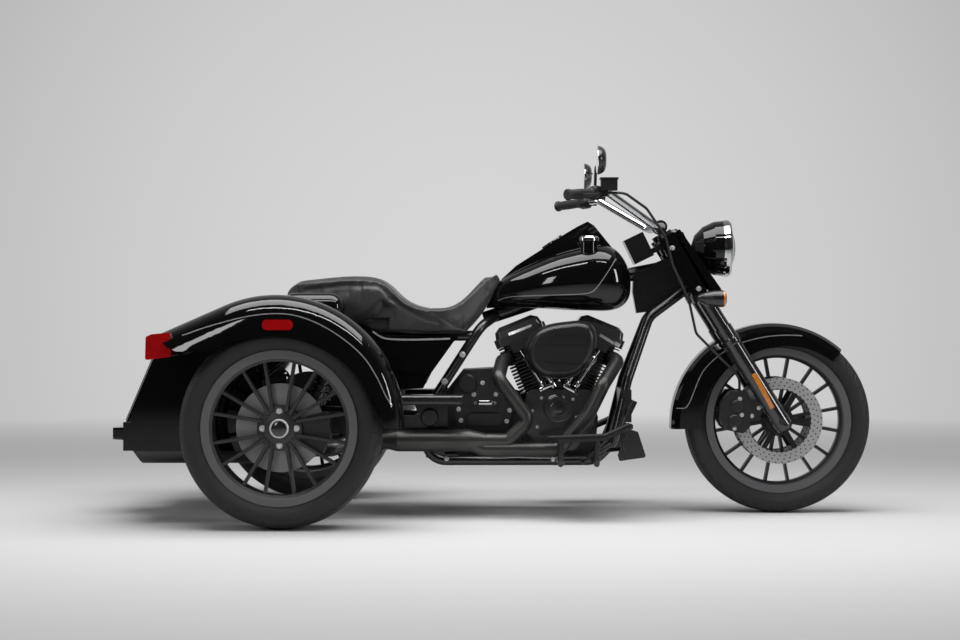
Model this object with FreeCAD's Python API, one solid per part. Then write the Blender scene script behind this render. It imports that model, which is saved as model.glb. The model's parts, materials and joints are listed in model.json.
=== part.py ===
import FreeCAD, Part
import math
import os

# Motorized cruiser trike, one front wheel and two rear wheels, in millimetres.
# Every piece is drawn with X forward from the rear axle, Y to the rider's left
# and Z up from the ground. save() then moves it so that the middle of the
# whole vehicle is at the origin.

V = FreeCAD.Vector
X_AXIS = V(1, 0, 0)
Y_AXIS = V(0, 1, 0)
Z_AXIS = V(0, 0, 1)
RIGHT = V(0, -1, 0)

# Main layout
WHEELBASE = 1665.0
TRACK = 1106.0
REAR_OVERHANG = 620.0
STEER_RAKE = 26.0
FORK_RAKE = 32.0
TRAIL = 107.0
SEAT = 0.3
FIT = 0.1
RUNNING_GAP = 6.0

# Front wheel
FRONT_TYRE_RADIUS = 319.3
FRONT_TYRE_WIDTH = 130.0
FRONT_LIP_RADIUS = FRONT_TYRE_RADIUS - 69.3
FRONT_RIM_WIDTH = 104.0
FRONT_HUB_RADIUS = 42.0
FRONT_AXLE_RADIUS = 12.0
FRONT_DISC_RADIUS = 148.0
FRONT_DISC_BAND = 42.0
FRONT_DISC_PLACE = 70.0
DISC_THICKNESS = 5.0

# Rear wheels
REAR_TYRE_RADIUS = 325.3
REAR_TYRE_WIDTH = 215.0
REAR_LIP_RADIUS = REAR_TYRE_RADIUS - 76.3
REAR_RIM_WIDTH = 190.0
REAR_HUB_RADIUS = 72.0
REAR_CAP_RADIUS = 30.0
REAR_DISC_RADIUS = 142.0
LUG_CIRCLE_RADIUS = 53.5
LUG_RADIUS = 10.0

# Rim section shared by the three wheels
LIP_THICKNESS = 6.0
LIP_HEIGHT = 12.0
RIM_WALL = 10.0
RIM_LIP_FACE = 25.0
RIM_BAND = 14.0
SPOKE_WIDTH = 13.0
SPOKE_DEPTH = 22.0
SPOKE_PAIRS = 8
SPOKE_TAPER = 0.7

# Frame
TUBE_RADIUS = 16.0
BACKBONE_RADIUS = 24.0
CROSS_RADIUS = 8.0
BEND_RADIUS = 70.0
NECK_RADIUS = 30.0
NECK_TOP_Z = 930.0
NECK_LOW_Z = 765.0
STEM_RADIUS = 16.0
RAIL_Y = 150.0
RAIL_Z = 188.0
RAIL_FRONT_X = 1030.0
RAIL_REAR_X = 470.0
PIVOT_X = 430.0
PIVOT_Z = 318.0
BACKBONE_BEND_X = 1050.0
BACKBONE_BEND_Z = 800.0
BACKBONE_END_X = 650.0
BACKBONE_END_Z = 668.0
BACKBONE_BEND = 120.0
SEAT_RAIL_Y = 110.0
SEAT_RAIL_Z = 610.0

# Rear axle and suspension
AXLE_TUBE_RADIUS = 32.0
HUB_BEARING_RADIUS = 48.0
HUB_BEARING_LENGTH = 60.0
DIFF_RADIUS = 62.0
DIFF_HALF_WIDTH = 70.0
ARM_WIDTH = 34.0
ARM_HEIGHT = 56.0
SHOCK_FOOT_X = 70.0
SHOCK_HEAD_X = 170.0
SHOCK_Y = 225.0
SHOCK_RADIUS = 27.0
SHOCK_EYE_RADIUS = 14.0

# Engine
CRANK_X = 910.0
CRANK_Z = 290.0
CYLINDER_LEAN = 22.5
CRANKCASE_RADIUS = 118.0
CRANKCASE_HALF_WIDTH = 82.0
CRANKCASE_FACE = 60.0
CRANKCASE_FOOT = 80.0
CYLINDER_BASE = 150.0
CYLINDER_HEIGHT = 112.0
BORE_RADIUS = 58.0
FIN_RADIUS = 78.0
FIN_PITCH = 12.0
FIN_THICKNESS = 4.0
HEAD_HEIGHT = 72.0
HEAD_LENGTH = 178.0
HEAD_WIDTH = 150.0
ROCKER_HEIGHT = 66.0
PUSHROD_Y = 98.0
BOSS_HEIGHT = 30.0
PORT_Y = 50.0
PORT_INSET = 26.0
PORT_HEIGHT = 30.0
PORT_LENGTH = 38.0
PORT_RUN = 30.0
PORT_TURN = 65.0
PUSHROD_RADIUS = 11.0
CAM_TOP_Z = 428.0
CAM_COVER_DEPTH = 34.0
CAM_CAP_RADIUS = 48.0
GEARBOX_X = 600.0
GEARBOX_HALF_WIDTH = 84.0
GEARBOX_COVER_DEPTH = 26.0
PRIMARY_Y = 128.0
PRIMARY_DEPTH = 62.0
INTAKE_HEIGHT = 20.0
INTAKE_FLANGE = 3.0
INTAKE_RADIUS = 17.0
AIR_CLEANER_Y = 150.0
AIR_CLEANER_DEPTH = 88.0

# Exhaust
HEADER_RADIUS = 24.0
COLLECTOR_RADIUS = 37.0
EXHAUST_Y = 240.0
EXHAUST_Z = 262.0
CROSSOVER_Z = 240.0
MUFFLER_RADIUS = 45.0
MUFFLER_Z = REAR_TYRE_RADIUS - 89.3
MUFFLER_FRONT_X = 90.0
MUFFLER_REAR_X = -543.0

# Tank, console and seat
CONSOLE_HALF_WIDTH = 58.0
FUEL_CAP_X = 1010.0
FUEL_CAP_Y = 98.0
FUEL_CAP_RADIUS = 34.0
SIDE_COVER_DEPTH = 52.0
SEAT_HALF_WIDTH = 210.0

# Rear body
BODY_TOP_X = 84.0
BODY_FRONT_X = -70.0
BODY_REAR_X = -526.0
BODY_HALF_WIDTH = (TRACK - REAR_TYRE_WIDTH) / 2 - 20.5
MUFFLER_Y = BODY_HALF_WIDTH - 125.0
BODY_SKIN = 4.0
BODY_EDGE_RADIUS = 12.0
BODY_SEAM_Z = 334.0
VALANCE_LOW_Z = 240.0
VALANCE_FRONT_X = -92.0
DECK_FRONT_Z = 690.0
DECK_MIDDLE_Z = 672.0
DECK_REAR_Z = 640.0
DOOR_TOP_Z = 588.0
DOOR_THICKNESS = 18.0
DOOR_GAP = 5.0
DOOR_HINGE_Z = 341.0
HINGE_X = -537.0
HINGE_Z = 337.0
HINGE_Y = 170.0
HINGE_HALF = 24.0
HINGE_RADIUS = 5.5
PIN_RADIUS = 2.5
EAR_WIDTH = 8.0
TUB_FLOOR_Z = 290.0
TUB_WALL = 3.0

# Rear fenders
FENDER_HALF_WIDTH = (TRACK + REAR_TYRE_WIDTH) / 2 + 29.5
FENDER_INNER_Y = BODY_HALF_WIDTH + SEAT
FENDER_SKIN = 4.0
FENDER_RADIUS = REAR_TYRE_RADIUS + 84.7
FENDER_CENTRE_X = -14.0
FENDER_CENTRE_Z = REAR_TYRE_RADIUS + 14.7
FENDER_TAIL_X = -378.0
FENDER_LOW_Z = REAR_TYRE_RADIUS + 245.7
ARCH_RADIUS = REAR_TYRE_RADIUS + 49.7
ARCH_CENTRE_X = -30.0
ARCH_CENTRE_Z = REAR_TYRE_RADIUS - 81.3
FENDER_TANGENT = 113.7
LAMP_INNER_Y = 470.0
LAMP_OUTER_Y = 672.0
MARKER_DEPTH = 5.0
PLATE_HOLE_SPACING = 146.0
PLATE_HOLE_RADIUS = 3.5
PLATE_Z = 276.0
MARKER_LENGTH = 98.0
MARKER_HEIGHT = 33.0

# Steering head and fork
CLAMP_THICKNESS = 26.0
POD_BACK = 165.0
POD_FRONT = 92.0
POD_HEIGHT = 88.0
POD_HALF_WIDTH = 50.0
DOME_RADIUS = 29.0
GUSSET_HALF_WIDTH = 26.0
STRIP_THICKNESS = 6.0
BRIDGE_REACH = 26.0
RISER_RADIUS = 12.0
LEG_Y = 112.5
LEG_RADIUS = 27.0
SLIDER_RADIUS = 31.0
SLIDER_TOP_Z = 640.0
SLIDER_COLLAR = 2.0
COVER_RADIUS = 33.0
BAR_RADIUS = 13.0
BAR_CLAMP_X = WHEELBASE - 407.0
BAR_CLAMP_Z = 985.0
GRIP_RADIUS = 17.0
PERCH_REACH = 42.0
PERCH_BACK = 12.0
PERCH_PLACE = 138.3
LEVER_BEND = 60.0
BAR_CLAMP_Y = 45.0
BAR_END_X = WHEELBASE - 740.0
BAR_END_Y = 440.0
BAR_END_Z = 1077.0
COVER_END_GAP = 26.0
LEVER_RADIUS = 6.0
HOSE_RADIUS = 4.5
HOSE_BEND = 40.0
MIRROR_X = WHEELBASE - 645.0
MIRROR_Y = 455.0
MIRROR_Z = 1188.0
MIRROR_WIDTH = 156.0
MIRROR_HEIGHT = 94.0
SIGNAL_X = WHEELBASE - 205.0
SIGNAL_Y = 205.0
SIGNAL_Z = 738.0
SIGNAL_RADIUS = 29.0

# Headlamp and front fender
HEADLAMP_Z = 912.0
HEADLAMP_FRONT_X = WHEELBASE - 162.0
HEADLAMP_RADIUS = 98.0
LENS_BULGE = 18.0
NACELLE_LOW_Z = 735.0
NACELLE_TOP_Z = 948.0
NACELLE_DEPTH = 30.0
FRONT_FENDER_RADIUS = FRONT_TYRE_RADIUS + 34.2
FRONT_FENDER_SHIFT = 18.0
FRONT_FENDER_SKIN = 3.0
FRONT_FENDER_START = 48.0
FRONT_FENDER_END = 182.0
FENDER_DROP = 100.0
CALIPER_GAP = 5.0
CALIPER_TOP_Z = FRONT_TYRE_RADIUS + 102.7
HOSE_START_X = WHEELBASE - 140.0

# Drive belt and footboards
BELT_Y = 90.0
BELT_WIDTH = 30.0
BELT_FRONT_RADIUS = 46.0
BELT_REAR_RADIUS = 60.0
BOARD_REAR_X = 845.0
BOARD_Z = 281.0
BOARD_Y = 270.0
BOARD_WIDTH = 118.0
BOARD_DIP = 20.0
BOARD_SLOPE = 0.04
ARM_RADIUS = 10.0
STAY_RADIUS = 7.0
REST_Y = 206.0
REST_WIDTH = 96.0
REST_TOP_Z = 416.0
PEDAL_RADIUS = 8.0
PEDAL_Y = 236.0
PIVOT_PLATE_Y = 134.0


def polar(radius, degrees):
    """Give the point at a radius and an angle in the local X-Y plane."""
    angle = math.radians(degrees)
    return V(radius * math.cos(angle), radius * math.sin(angle), 0)


def placed(shape, origin, direction=Z_AXIS):
    """Stand a shape drawn about local Z at an origin along a direction."""
    copy = shape.copy()
    copy.Placement = FreeCAD.Placement(origin, FreeCAD.Rotation(Z_AXIS, direction))
    return copy


def corner_points(before, corner, after, radius):
    """Give the start, middle and end of the arc that rounds a corner."""
    to_before = (before - corner).normalize()
    to_after = (after - corner).normalize()
    half = to_before.getAngle(to_after) / 2
    reach = radius / math.tan(half)
    bisector = (to_before + to_after).normalize()
    middle = corner + bisector * (radius / math.sin(half) - radius)
    return corner + to_before * reach, middle, corner + to_after * reach


def open_path(points, radius):
    """Join points by straight runs and tangent arcs of one radius."""
    edges = []
    last = points[0]
    for before, corner, after in zip(points, points[1:], points[2:]):
        start, middle, end = corner_points(before, corner, after, radius)
        edges.append(Part.LineSegment(last, start).toShape())
        edges.append(Part.Arc(start, middle, end).toShape())
        last = end
    edges.append(Part.LineSegment(last, points[-1]).toShape())
    return Part.Wire(edges)


def closed_path(points, radius):
    """Join points into a loop whose corners are rounded by one radius."""
    count = len(points)
    arcs = []
    for index in range(count):
        before = points[index - 1]
        after = points[(index + 1) % count]
        arcs.append(corner_points(before, points[index], after, radius))
    edges = []
    for index, (start, middle, end) in enumerate(arcs):
        following = arcs[(index + 1) % count][0]
        edges.append(Part.Arc(start, middle, end).toShape())
        edges.append(Part.LineSegment(end, following).toShape())
    return Part.Wire(edges)


def side_wire(outline, y, radius=0):
    """Draw an outline of X-Z pairs in the plane at a given Y."""
    points = [V(x, y, z) for x, z in outline]
    if radius:
        return closed_path(points, radius)
    return Part.makePolygon(points + [points[0]])


def side_plate(outline, y_from, y_to, radius=0):
    """Push a side outline across the vehicle from one Y to another."""
    face = Part.Face(side_wire(outline, y_from, radius))
    return face.extrude(V(0, y_to - y_from, 0))


def flat_plate(outline, z_from, z_to, radius=0):
    """Raise an outline of X-Y pairs from one Z to another."""
    points = [V(x, y, z_from) for x, y in outline]
    wire = closed_path(points, radius) if radius else Part.makePolygon(points + [points[0]])
    return Part.Face(wire).extrude(V(0, 0, z_to - z_from))


def block(x_from, x_to, y_from, y_to, z_from, z_to):
    """Make a plain box between two corners."""
    size = V(x_to - x_from, y_to - y_from, z_to - z_from)
    return Part.makeBox(size.x, size.y, size.z, V(x_from, y_from, z_from))


def turned(profile, origin, direction=Z_AXIS, radius=0):
    """Turn a profile of radius-height pairs about an axis."""
    points = [V(r, 0, h) for r, h in profile]
    wire = closed_path(points, radius) if radius else Part.makePolygon(points + [points[0]])
    return placed(Part.Face(wire).revolve(V(0, 0, 0), Z_AXIS, 360), origin, direction)


def rod(start, end, radius):
    """Make a round bar between two points."""
    run = end - start
    return Part.makeCylinder(radius, run.Length, start, run)


def tube(points, radius, bend):
    """Sweep a round section along straight runs joined by arcs."""
    path = open_path(points, bend) if len(points) > 2 else Part.makePolygon(points)
    start = points[0]
    circle = Part.Wire(Part.makeCircle(radius, start, points[1] - start))
    return path.makePipeShell([circle], True, False)


def mirrored(shape):
    """Give the same piece on the other side of the vehicle."""
    return shape.mirror(V(0, 0, 0), Y_AXIS)


def both_sides(shape):
    """Give a piece and its mirror image."""
    return [shape, mirrored(shape)]


def fused(shapes):
    """Join touching shapes into one solid."""
    whole = shapes[0].fuse(shapes[1:]) if len(shapes) > 1 else shapes[0]
    return whole.removeSplitter()


def save(name, shapes):
    """Move a node's solids to the vehicle's origin and write them."""
    middle = (WHEELBASE + FRONT_TYRE_RADIUS - REAR_OVERHANG) / 2
    node = Part.makeCompound([solid for shape in shapes for solid in shape.Solids])
    node.translate(V(-middle, 0, 0))
    node.exportStep("parts/" + name + ".step")


def steer_x(z):
    """Give the X of the steering axis at a height."""
    return WHEELBASE + TRAIL - z * math.tan(math.radians(STEER_RAKE))


def fork_x(z):
    """Give the X of the fork legs' axis at a height."""
    return WHEELBASE - (z - FRONT_TYRE_RADIUS) * math.tan(math.radians(FORK_RAKE))


def tyre_profile(radius, width, lip_radius, rim_width):
    """Draw half a tyre's section and its mirror as one closed wire."""
    bead_r = lip_radius - LIP_HEIGHT + SEAT
    bead_y = rim_width / 2 - LIP_THICKNESS - SEAT
    wall_r = lip_radius + SEAT * 2
    belly_r = wall_r + (radius - wall_r) * 0.5
    shoulder_r = radius - (radius - wall_r) * 0.14
    shoulder_y = width / 2 * 0.82
    low = [V(bead_r, 0, bead_y), V(wall_r, 0, bead_y), V(wall_r, 0, bead_y + LIP_THICKNESS / 2)]
    side = [low[2], V(belly_r, 0, width / 2), V(shoulder_r, 0, shoulder_y)]
    crown = V(radius, 0, 0)
    flip = [V(p.x, 0, -p.z) for p in low + side[2:]]
    far_side = [V(p.x, 0, -p.z) for p in side]
    edges = [Part.LineSegment(low[0], low[1]).toShape(), Part.LineSegment(low[1], low[2]).toShape()]
    edges.append(Part.Arc(side[0], side[1], side[2]).toShape())
    edges.append(Part.Arc(side[2], crown, flip[3]).toShape())
    edges.append(Part.Arc(flip[3], far_side[1], flip[2]).toShape())
    edges.append(Part.LineSegment(flip[2], flip[1]).toShape())
    edges.append(Part.LineSegment(flip[1], flip[0]).toShape())
    edges.append(Part.LineSegment(flip[0], low[0]).toShape())
    return Part.Wire(edges)


def tyre(radius, width, lip_radius, rim_width):
    """Turn a tyre about local Z."""
    face = Part.Face(tyre_profile(radius, width, lip_radius, rim_width))
    return face.revolve(V(0, 0, 0), Z_AXIS, 360)


def rim_band_radius(lip_radius):
    """Give the inner radius of the band that the spokes grow from."""
    return lip_radius - LIP_HEIGHT - RIM_WALL - RIM_BAND


def rim(lip_radius, rim_width, spoke_place):
    """Turn the rim: two lips, the barrel and the band at the spokes."""
    half = rim_width / 2
    seat_r = lip_radius - LIP_HEIGHT
    barrel_r = seat_r - RIM_WALL
    face_r = lip_radius - RIM_LIP_FACE
    band_r = rim_band_radius(lip_radius)
    band_out = spoke_place + SPOKE_DEPTH / 2 + 4
    band_in = spoke_place - SPOKE_DEPTH / 2 - 4
    profile = [
        (lip_radius, half), (lip_radius, half - LIP_THICKNESS), (seat_r, half - LIP_THICKNESS),
        (seat_r, LIP_THICKNESS - half), (lip_radius, LIP_THICKNESS - half), (lip_radius, -half),
        (face_r, -half), (barrel_r, LIP_THICKNESS - half), (barrel_r, band_in - RIM_BAND),
        (band_r, band_in), (band_r, band_out),
    ]
    if half - band_out > RIM_BAND:
        profile.append((barrel_r, band_out + RIM_BAND))
        profile.append((barrel_r, half - LIP_THICKNESS))
    profile.append((face_r, half))
    return turned(profile, V(0, 0, 0))


def spoke(side, root_r, root_shift, tip, place):
    """Loft one spoke that narrows toward its outer face."""
    layers = []
    for depth, width in ((-SPOKE_DEPTH / 2, SPOKE_WIDTH), (SPOKE_DEPTH / 2, SPOKE_WIDTH * SPOKE_TAPER)):
        z = place + depth
        corners = [
            V(root_r, side * root_shift - width / 2, z), V(tip.x, side * tip.y - width / 2, z),
            V(tip.x, side * tip.y + width / 2, z), V(root_r, side * root_shift + width / 2, z),
        ]
        layers.append(Part.makePolygon(corners + [corners[0]]))
    return Part.makeLoft(layers, True, True)


def spoke_set(root_r, band_r, place, shifts, half_angle):
    """Make the pairs of spokes, each pair splayed by the same half angle."""
    reach = band_r + RIM_BAND / 2
    tip = polar(reach, half_angle)
    bars = []
    for pair in range(SPOKE_PAIRS):
        root_shift = shifts[pair % len(shifts)]
        for side in (-1, 1):
            bar = spoke(side, root_r, root_shift, tip, place)
            bar.rotate(V(0, 0, 0), Z_AXIS, pair * 360.0 / SPOKE_PAIRS)
            bars.append(bar)
    return bars


def front_wheel_parts():
    """Make the front tyre, cast wheel and brake discs about the axle."""
    axle = V(WHEELBASE, 0, FRONT_TYRE_RADIUS)
    rubber = tyre(FRONT_TYRE_RADIUS, FRONT_TYRE_WIDTH, FRONT_LIP_RADIUS, FRONT_RIM_WIDTH)
    hub_reach = FRONT_DISC_PLACE - SEAT
    hub = turned([
        (FRONT_AXLE_RADIUS + FIT, -hub_reach), (FRONT_HUB_RADIUS, -hub_reach),
        (FRONT_HUB_RADIUS, -SPOKE_DEPTH), (FRONT_HUB_RADIUS + 14, -SPOKE_DEPTH / 2),
        (FRONT_HUB_RADIUS + 14, SPOKE_DEPTH / 2), (FRONT_HUB_RADIUS, SPOKE_DEPTH),
        (FRONT_HUB_RADIUS, hub_reach), (FRONT_AXLE_RADIUS + FIT, hub_reach),
    ], V(0, 0, 0))
    band_r = rim_band_radius(FRONT_LIP_RADIUS)
    bars = spoke_set(FRONT_HUB_RADIUS, band_r, 0, [SPOKE_WIDTH * 0.62], 10.5)
    casting = fused([rim(FRONT_LIP_RADIUS, FRONT_RIM_WIDTH, 0), hub] + bars)
    save("front_tyre", [placed(rubber, axle, RIGHT)])
    save("front_wheel", [placed(casting, axle, RIGHT)])
    discs = [brake_disc(FRONT_DISC_RADIUS, FRONT_DISC_BAND, FRONT_HUB_RADIUS, FRONT_DISC_PLACE)]
    discs.append(discs[0].mirror(V(0, 0, 0), Z_AXIS))
    save("front_discs", [placed(disc, axle, RIGHT) for disc in discs])


def brake_disc(radius, band, hub_radius, place):
    """Make a disc: friction ring, carrier arms and centre, bored for its axle."""
    inner = radius - band
    bore = FRONT_AXLE_RADIUS + FIT
    ring = turned([(inner, place), (radius, place), (radius, place + DISC_THICKNESS),
                   (inner, place + DISC_THICKNESS)], V(0, 0, 0))
    centre = turned([(bore, place), (hub_radius, place), (hub_radius, place + DISC_THICKNESS),
                     (bore, place + DISC_THICKNESS)], V(0, 0, 0))
    arms = []
    for index in range(6):
        arm = block(hub_radius - 3, inner + 3, -9, 9, place, place + DISC_THICKNESS)
        arm.rotate(V(0, 0, 0), Z_AXIS, index * 60)
        arms.append(arm)
    return fused([ring, centre] + arms)


def rear_spoke_place():
    """Give how far the rear spokes sit outside the wheel's middle plane."""
    return REAR_RIM_WIDTH / 2 - SPOKE_DEPTH


def rear_disc_place():
    """Give how far the rear disc's inner face sits outside the middle plane."""
    return rear_spoke_place() - SPOKE_DEPTH * 1.5 - DISC_THICKNESS - SEAT


def rear_wheel_parts():
    """Make each rear wheel: tyre, cast wheel with its cap, and disc."""
    rubber = tyre(REAR_TYRE_RADIUS, REAR_TYRE_WIDTH, REAR_LIP_RADIUS, REAR_RIM_WIDTH)
    place = rear_spoke_place()
    band_r = rim_band_radius(REAR_LIP_RADIUS)
    shifts = [LUG_RADIUS * 2.2, SPOKE_WIDTH * 0.62]
    bars = spoke_set(LUG_CIRCLE_RADIUS, band_r, place, shifts, 12.5)
    back = place - SPOKE_DEPTH * 1.5
    hub = turned([
        (0, back), (REAR_HUB_RADIUS * 0.8, back), (REAR_HUB_RADIUS, place - SPOKE_DEPTH / 2),
        (REAR_HUB_RADIUS, place), (REAR_CAP_RADIUS + 4, place + SPOKE_DEPTH / 2),
        (REAR_CAP_RADIUS, place + SPOKE_DEPTH / 2), (REAR_CAP_RADIUS - 3, place + SPOKE_DEPTH * 0.8),
        (0, place + SPOKE_DEPTH * 0.8),
    ], V(0, 0, 0))
    casting = fused([rim(REAR_LIP_RADIUS, REAR_RIM_WIDTH, place), hub] + bars)
    disc_place = rear_disc_place()
    disc = turned([(0, disc_place), (REAR_DISC_RADIUS, disc_place),
                   (REAR_DISC_RADIUS, disc_place + DISC_THICKNESS),
                   (0, disc_place + DISC_THICKNESS)], V(0, 0, 0))
    axle = V(0, -TRACK / 2, REAR_TYRE_RADIUS)
    for side, flip in (("right", False), ("left", True)):
        for name, shapes in (("tyre", [rubber]), ("wheel", [casting, disc])):
            pieces = [placed(shape, axle, RIGHT) for shape in shapes]
            save("rear_%s_%s" % (name, side), [mirrored(piece) if flip else piece for piece in pieces])


def rear_caliper():
    """Make the right rear caliper over its disc, with its bracket on the axle housing."""
    axle = V(0, 0, REAR_TYRE_RADIUS)
    face = TRACK / 2 + rear_disc_place()
    steps = [(88, -38), (REAR_DISC_RADIUS + 18, -36), (REAR_DISC_RADIUS + 24, -8),
             (REAR_DISC_RADIUS + 18, 20), (88, 24)]
    points = [polar(radius, degrees) for radius, degrees in steps]
    outline = [(p.x, axle.z + p.y) for p in points]
    body = side_plate(outline, -face - DISC_THICKNESS - 16, -face + 34, 12)
    slot = rod(axle - Y_AXIS * (face - CALIPER_GAP), axle - Y_AXIS * (face + DISC_THICKNESS + CALIPER_GAP),
               REAR_DISC_RADIUS + CALIPER_GAP)
    inner = -face + CALIPER_GAP
    bracket = rod(V(0, inner, axle.z), V(0, inner + 12, axle.z), HUB_BEARING_RADIUS + 12)
    web = side_plate([(20, axle.z - 50), (104, axle.z - 62), (112, axle.z + 36), (20, axle.z + 50)], inner,
                     inner + 12)
    bore = rod(V(0, inner - 5, axle.z), V(0, inner + 40, axle.z), HUB_BEARING_RADIUS + SEAT)
    return fused([body.cut(slot), bracket, web]).cut(bore)


def axis_point(z, shift=0):
    """Give a point of the steering axis, pushed forward by a shift."""
    return V(steer_x(z) + shift, 0, z)


def steer_direction():
    """Give the unit direction of the steering axis, pointing up."""
    rake = math.radians(STEER_RAKE)
    return V(-math.sin(rake), 0, math.cos(rake))


def loop_points():
    """Give one side loop of the frame, from the neck round under the engine."""
    neck = axis_point(NECK_LOW_Z + NECK_RADIUS)
    return [
        V(neck.x, -NECK_RADIUS * 0.6, neck.z), V(neck.x - 165, -60, neck.z - 120),
        V(RAIL_FRONT_X + 110, -RAIL_Y * 0.85, RAIL_Z + 272), V(RAIL_FRONT_X + 60, -RAIL_Y, RAIL_Z + 62),
        V(RAIL_FRONT_X, -RAIL_Y, RAIL_Z), V(RAIL_REAR_X, -RAIL_Y, RAIL_Z),
        V(PIVOT_X, -RAIL_Y, PIVOT_Z), V(BACKBONE_END_X - 10, -SEAT_RAIL_Y, SEAT_RAIL_Z + TUBE_RADIUS * 2),
        V(BACKBONE_END_X + 50, 0, BACKBONE_END_Z + 16),
    ]


def backbone_points():
    """Give the run of the backbone from the neck to the seat."""
    neck = axis_point(NECK_TOP_Z - 70)
    return [neck, V(BACKBONE_BEND_X, 0, BACKBONE_BEND_Z), V(BACKBONE_END_X, 0, BACKBONE_END_Z)]


def neck_gusset():
    """Make the web that joins the neck, the backbone and the front tubes."""
    low = axis_point(NECK_LOW_Z + NECK_RADIUS)
    top = axis_point(NECK_TOP_Z - NECK_RADIUS)
    outline = [
        (low.x, low.z), (low.x - 106, low.z - 64), (low.x - 163, low.z - 102), (low.x - 207, low.z - 107),
        (low.x - 220, low.z - 35), (low.x - 218, low.z + 19), (low.x - 142, low.z + 67), (top.x, top.z),
    ]
    return side_plate(outline, -GUSSET_HALF_WIDTH, GUSSET_HALF_WIDTH)


def pivot_plate():
    """Make the right plate of the frame round the swingarm's pivot."""
    outline = [
        (PIVOT_X, PIVOT_Z), (PIVOT_X + 24, RAIL_Z + 10), (PIVOT_X + 80, RAIL_Z),
        (PIVOT_X + 98, RAIL_Z + 60),
        (PIVOT_X + 98, PIVOT_Z + 100), (PIVOT_X + 80, PIVOT_Z + 124),
    ]
    return side_plate(outline, -RAIL_Y, -PIVOT_PLATE_Y)


def frame():
    """Join the neck, backbone, two side loops, seat rails and cross tubes."""
    low = axis_point(NECK_LOW_Z)
    top = axis_point(NECK_TOP_Z)
    pieces = [rod(low, top, NECK_RADIUS), tube(backbone_points(), BACKBONE_RADIUS, BACKBONE_BEND)]
    loop = tube(loop_points(), TUBE_RADIUS, BEND_RADIUS)
    pieces += both_sides(loop) + both_sides(pivot_plate()) + [neck_gusset()]
    rail_end = BODY_TOP_X + SEAT
    seat_rail = rod(V(BACKBONE_END_X - 30, -SEAT_RAIL_Y, SEAT_RAIL_Z),
                    V(rail_end, -SEAT_RAIL_Y, SEAT_RAIL_Z),
                    TUBE_RADIUS)
    pieces += both_sides(seat_rail)
    for x in (CRANK_X - CRANKCASE_FOOT, CRANK_X + CRANKCASE_FOOT, GEARBOX_X):
        pieces.append(rod(V(x, -RAIL_Y, RAIL_Z), V(x, RAIL_Y, RAIL_Z), CROSS_RADIUS))
    pieces.append(rod(V(PIVOT_X, -RAIL_Y, PIVOT_Z), V(PIVOT_X, RAIL_Y, PIVOT_Z), TUBE_RADIUS))
    reach = SHOCK_Y + SHOCK_EYE_RADIUS
    pieces.append(rod(V(SHOCK_HEAD_X, -reach, SEAT_RAIL_Z), V(SHOCK_HEAD_X, reach, SEAT_RAIL_Z),
                      CROSS_RADIUS))
    whole = fused(pieces)
    return whole.cut(rod(low - steer_direction() * 40, top + steer_direction() * 40, STEM_RADIUS + FIT))


def rear_axle():
    """Join the axle housing, the differential case and the wheel bearings."""
    end = TRACK / 2 + rear_disc_place() - SEAT
    profile = [
        (0, -end), (HUB_BEARING_RADIUS, -end), (HUB_BEARING_RADIUS, HUB_BEARING_LENGTH - end),
        (AXLE_TUBE_RADIUS, HUB_BEARING_LENGTH + 20 - end), (AXLE_TUBE_RADIUS, -DIFF_HALF_WIDTH - 20),
        (DIFF_RADIUS, -DIFF_HALF_WIDTH), (DIFF_RADIUS, DIFF_HALF_WIDTH),
        (AXLE_TUBE_RADIUS, DIFF_HALF_WIDTH + 20), (AXLE_TUBE_RADIUS, end - HUB_BEARING_LENGTH - 20),
        (HUB_BEARING_RADIUS, end - HUB_BEARING_LENGTH), (HUB_BEARING_RADIUS, end), (0, end),
    ]
    housing = turned(profile, V(0, 0, REAR_TYRE_RADIUS), Y_AXIS)
    return housing


def swingarm():
    """Make the two arms from the frame's pivot to the axle housing."""
    inner = RAIL_Y + TUBE_RADIUS + SEAT
    pivot = V(PIVOT_X, -inner, PIVOT_Z)
    axle = V(0, -inner, REAR_TYRE_RADIUS)
    half = ARM_HEIGHT / 2
    bar = side_plate([
        (axle.x, axle.z - half * 1.3), (pivot.x, pivot.z - half * 0.8),
        (pivot.x, pivot.z + half * 0.8), (axle.x, axle.z + half * 1.3),
    ], -inner, -inner - ARM_WIDTH)
    eye = rod(pivot, pivot + RIGHT * ARM_WIDTH, half * 1.1)
    boss = rod(axle, axle + RIGHT * ARM_WIDTH, half * 1.5)
    bore = rod(axle + Y_AXIS * 5, axle + RIGHT * (ARM_WIDTH + 5), AXLE_TUBE_RADIUS + SEAT)
    return both_sides(fused([bar, eye, boss]).cut(bore))


def shock():
    """Turn one spring and damper: two eyes, the body and the spring's coils."""
    foot = V(SHOCK_FOOT_X, -SHOCK_Y, REAR_TYRE_RADIUS + ARM_HEIGHT / 2 * 1.25 + SEAT + 2)
    hanger = V(SHOCK_HEAD_X, -SHOCK_Y, SEAT_RAIL_Z)
    head = hanger - (hanger - foot).normalize() * (CROSS_RADIUS + SEAT)
    length = (head - foot).Length
    eye = SHOCK_EYE_RADIUS
    profile = [(0, 0), (eye, 0), (eye, 20), (SHOCK_RADIUS, 24)]
    turns = 7
    step = (length - 90) / turns
    for index in range(turns):
        low = 30 + index * step
        profile += [(SHOCK_RADIUS, low), (SHOCK_RADIUS, low + step * 0.6),
                    (SHOCK_RADIUS * 0.72, low + step * 0.7),
                    (SHOCK_RADIUS * 0.72, low + step * 0.95)]
    profile += [(SHOCK_RADIUS, length - 58), (SHOCK_RADIUS, length - 30), (eye, length - 24), (eye, length),
                (0, length)]
    return turned(profile, foot, head - foot)


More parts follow.
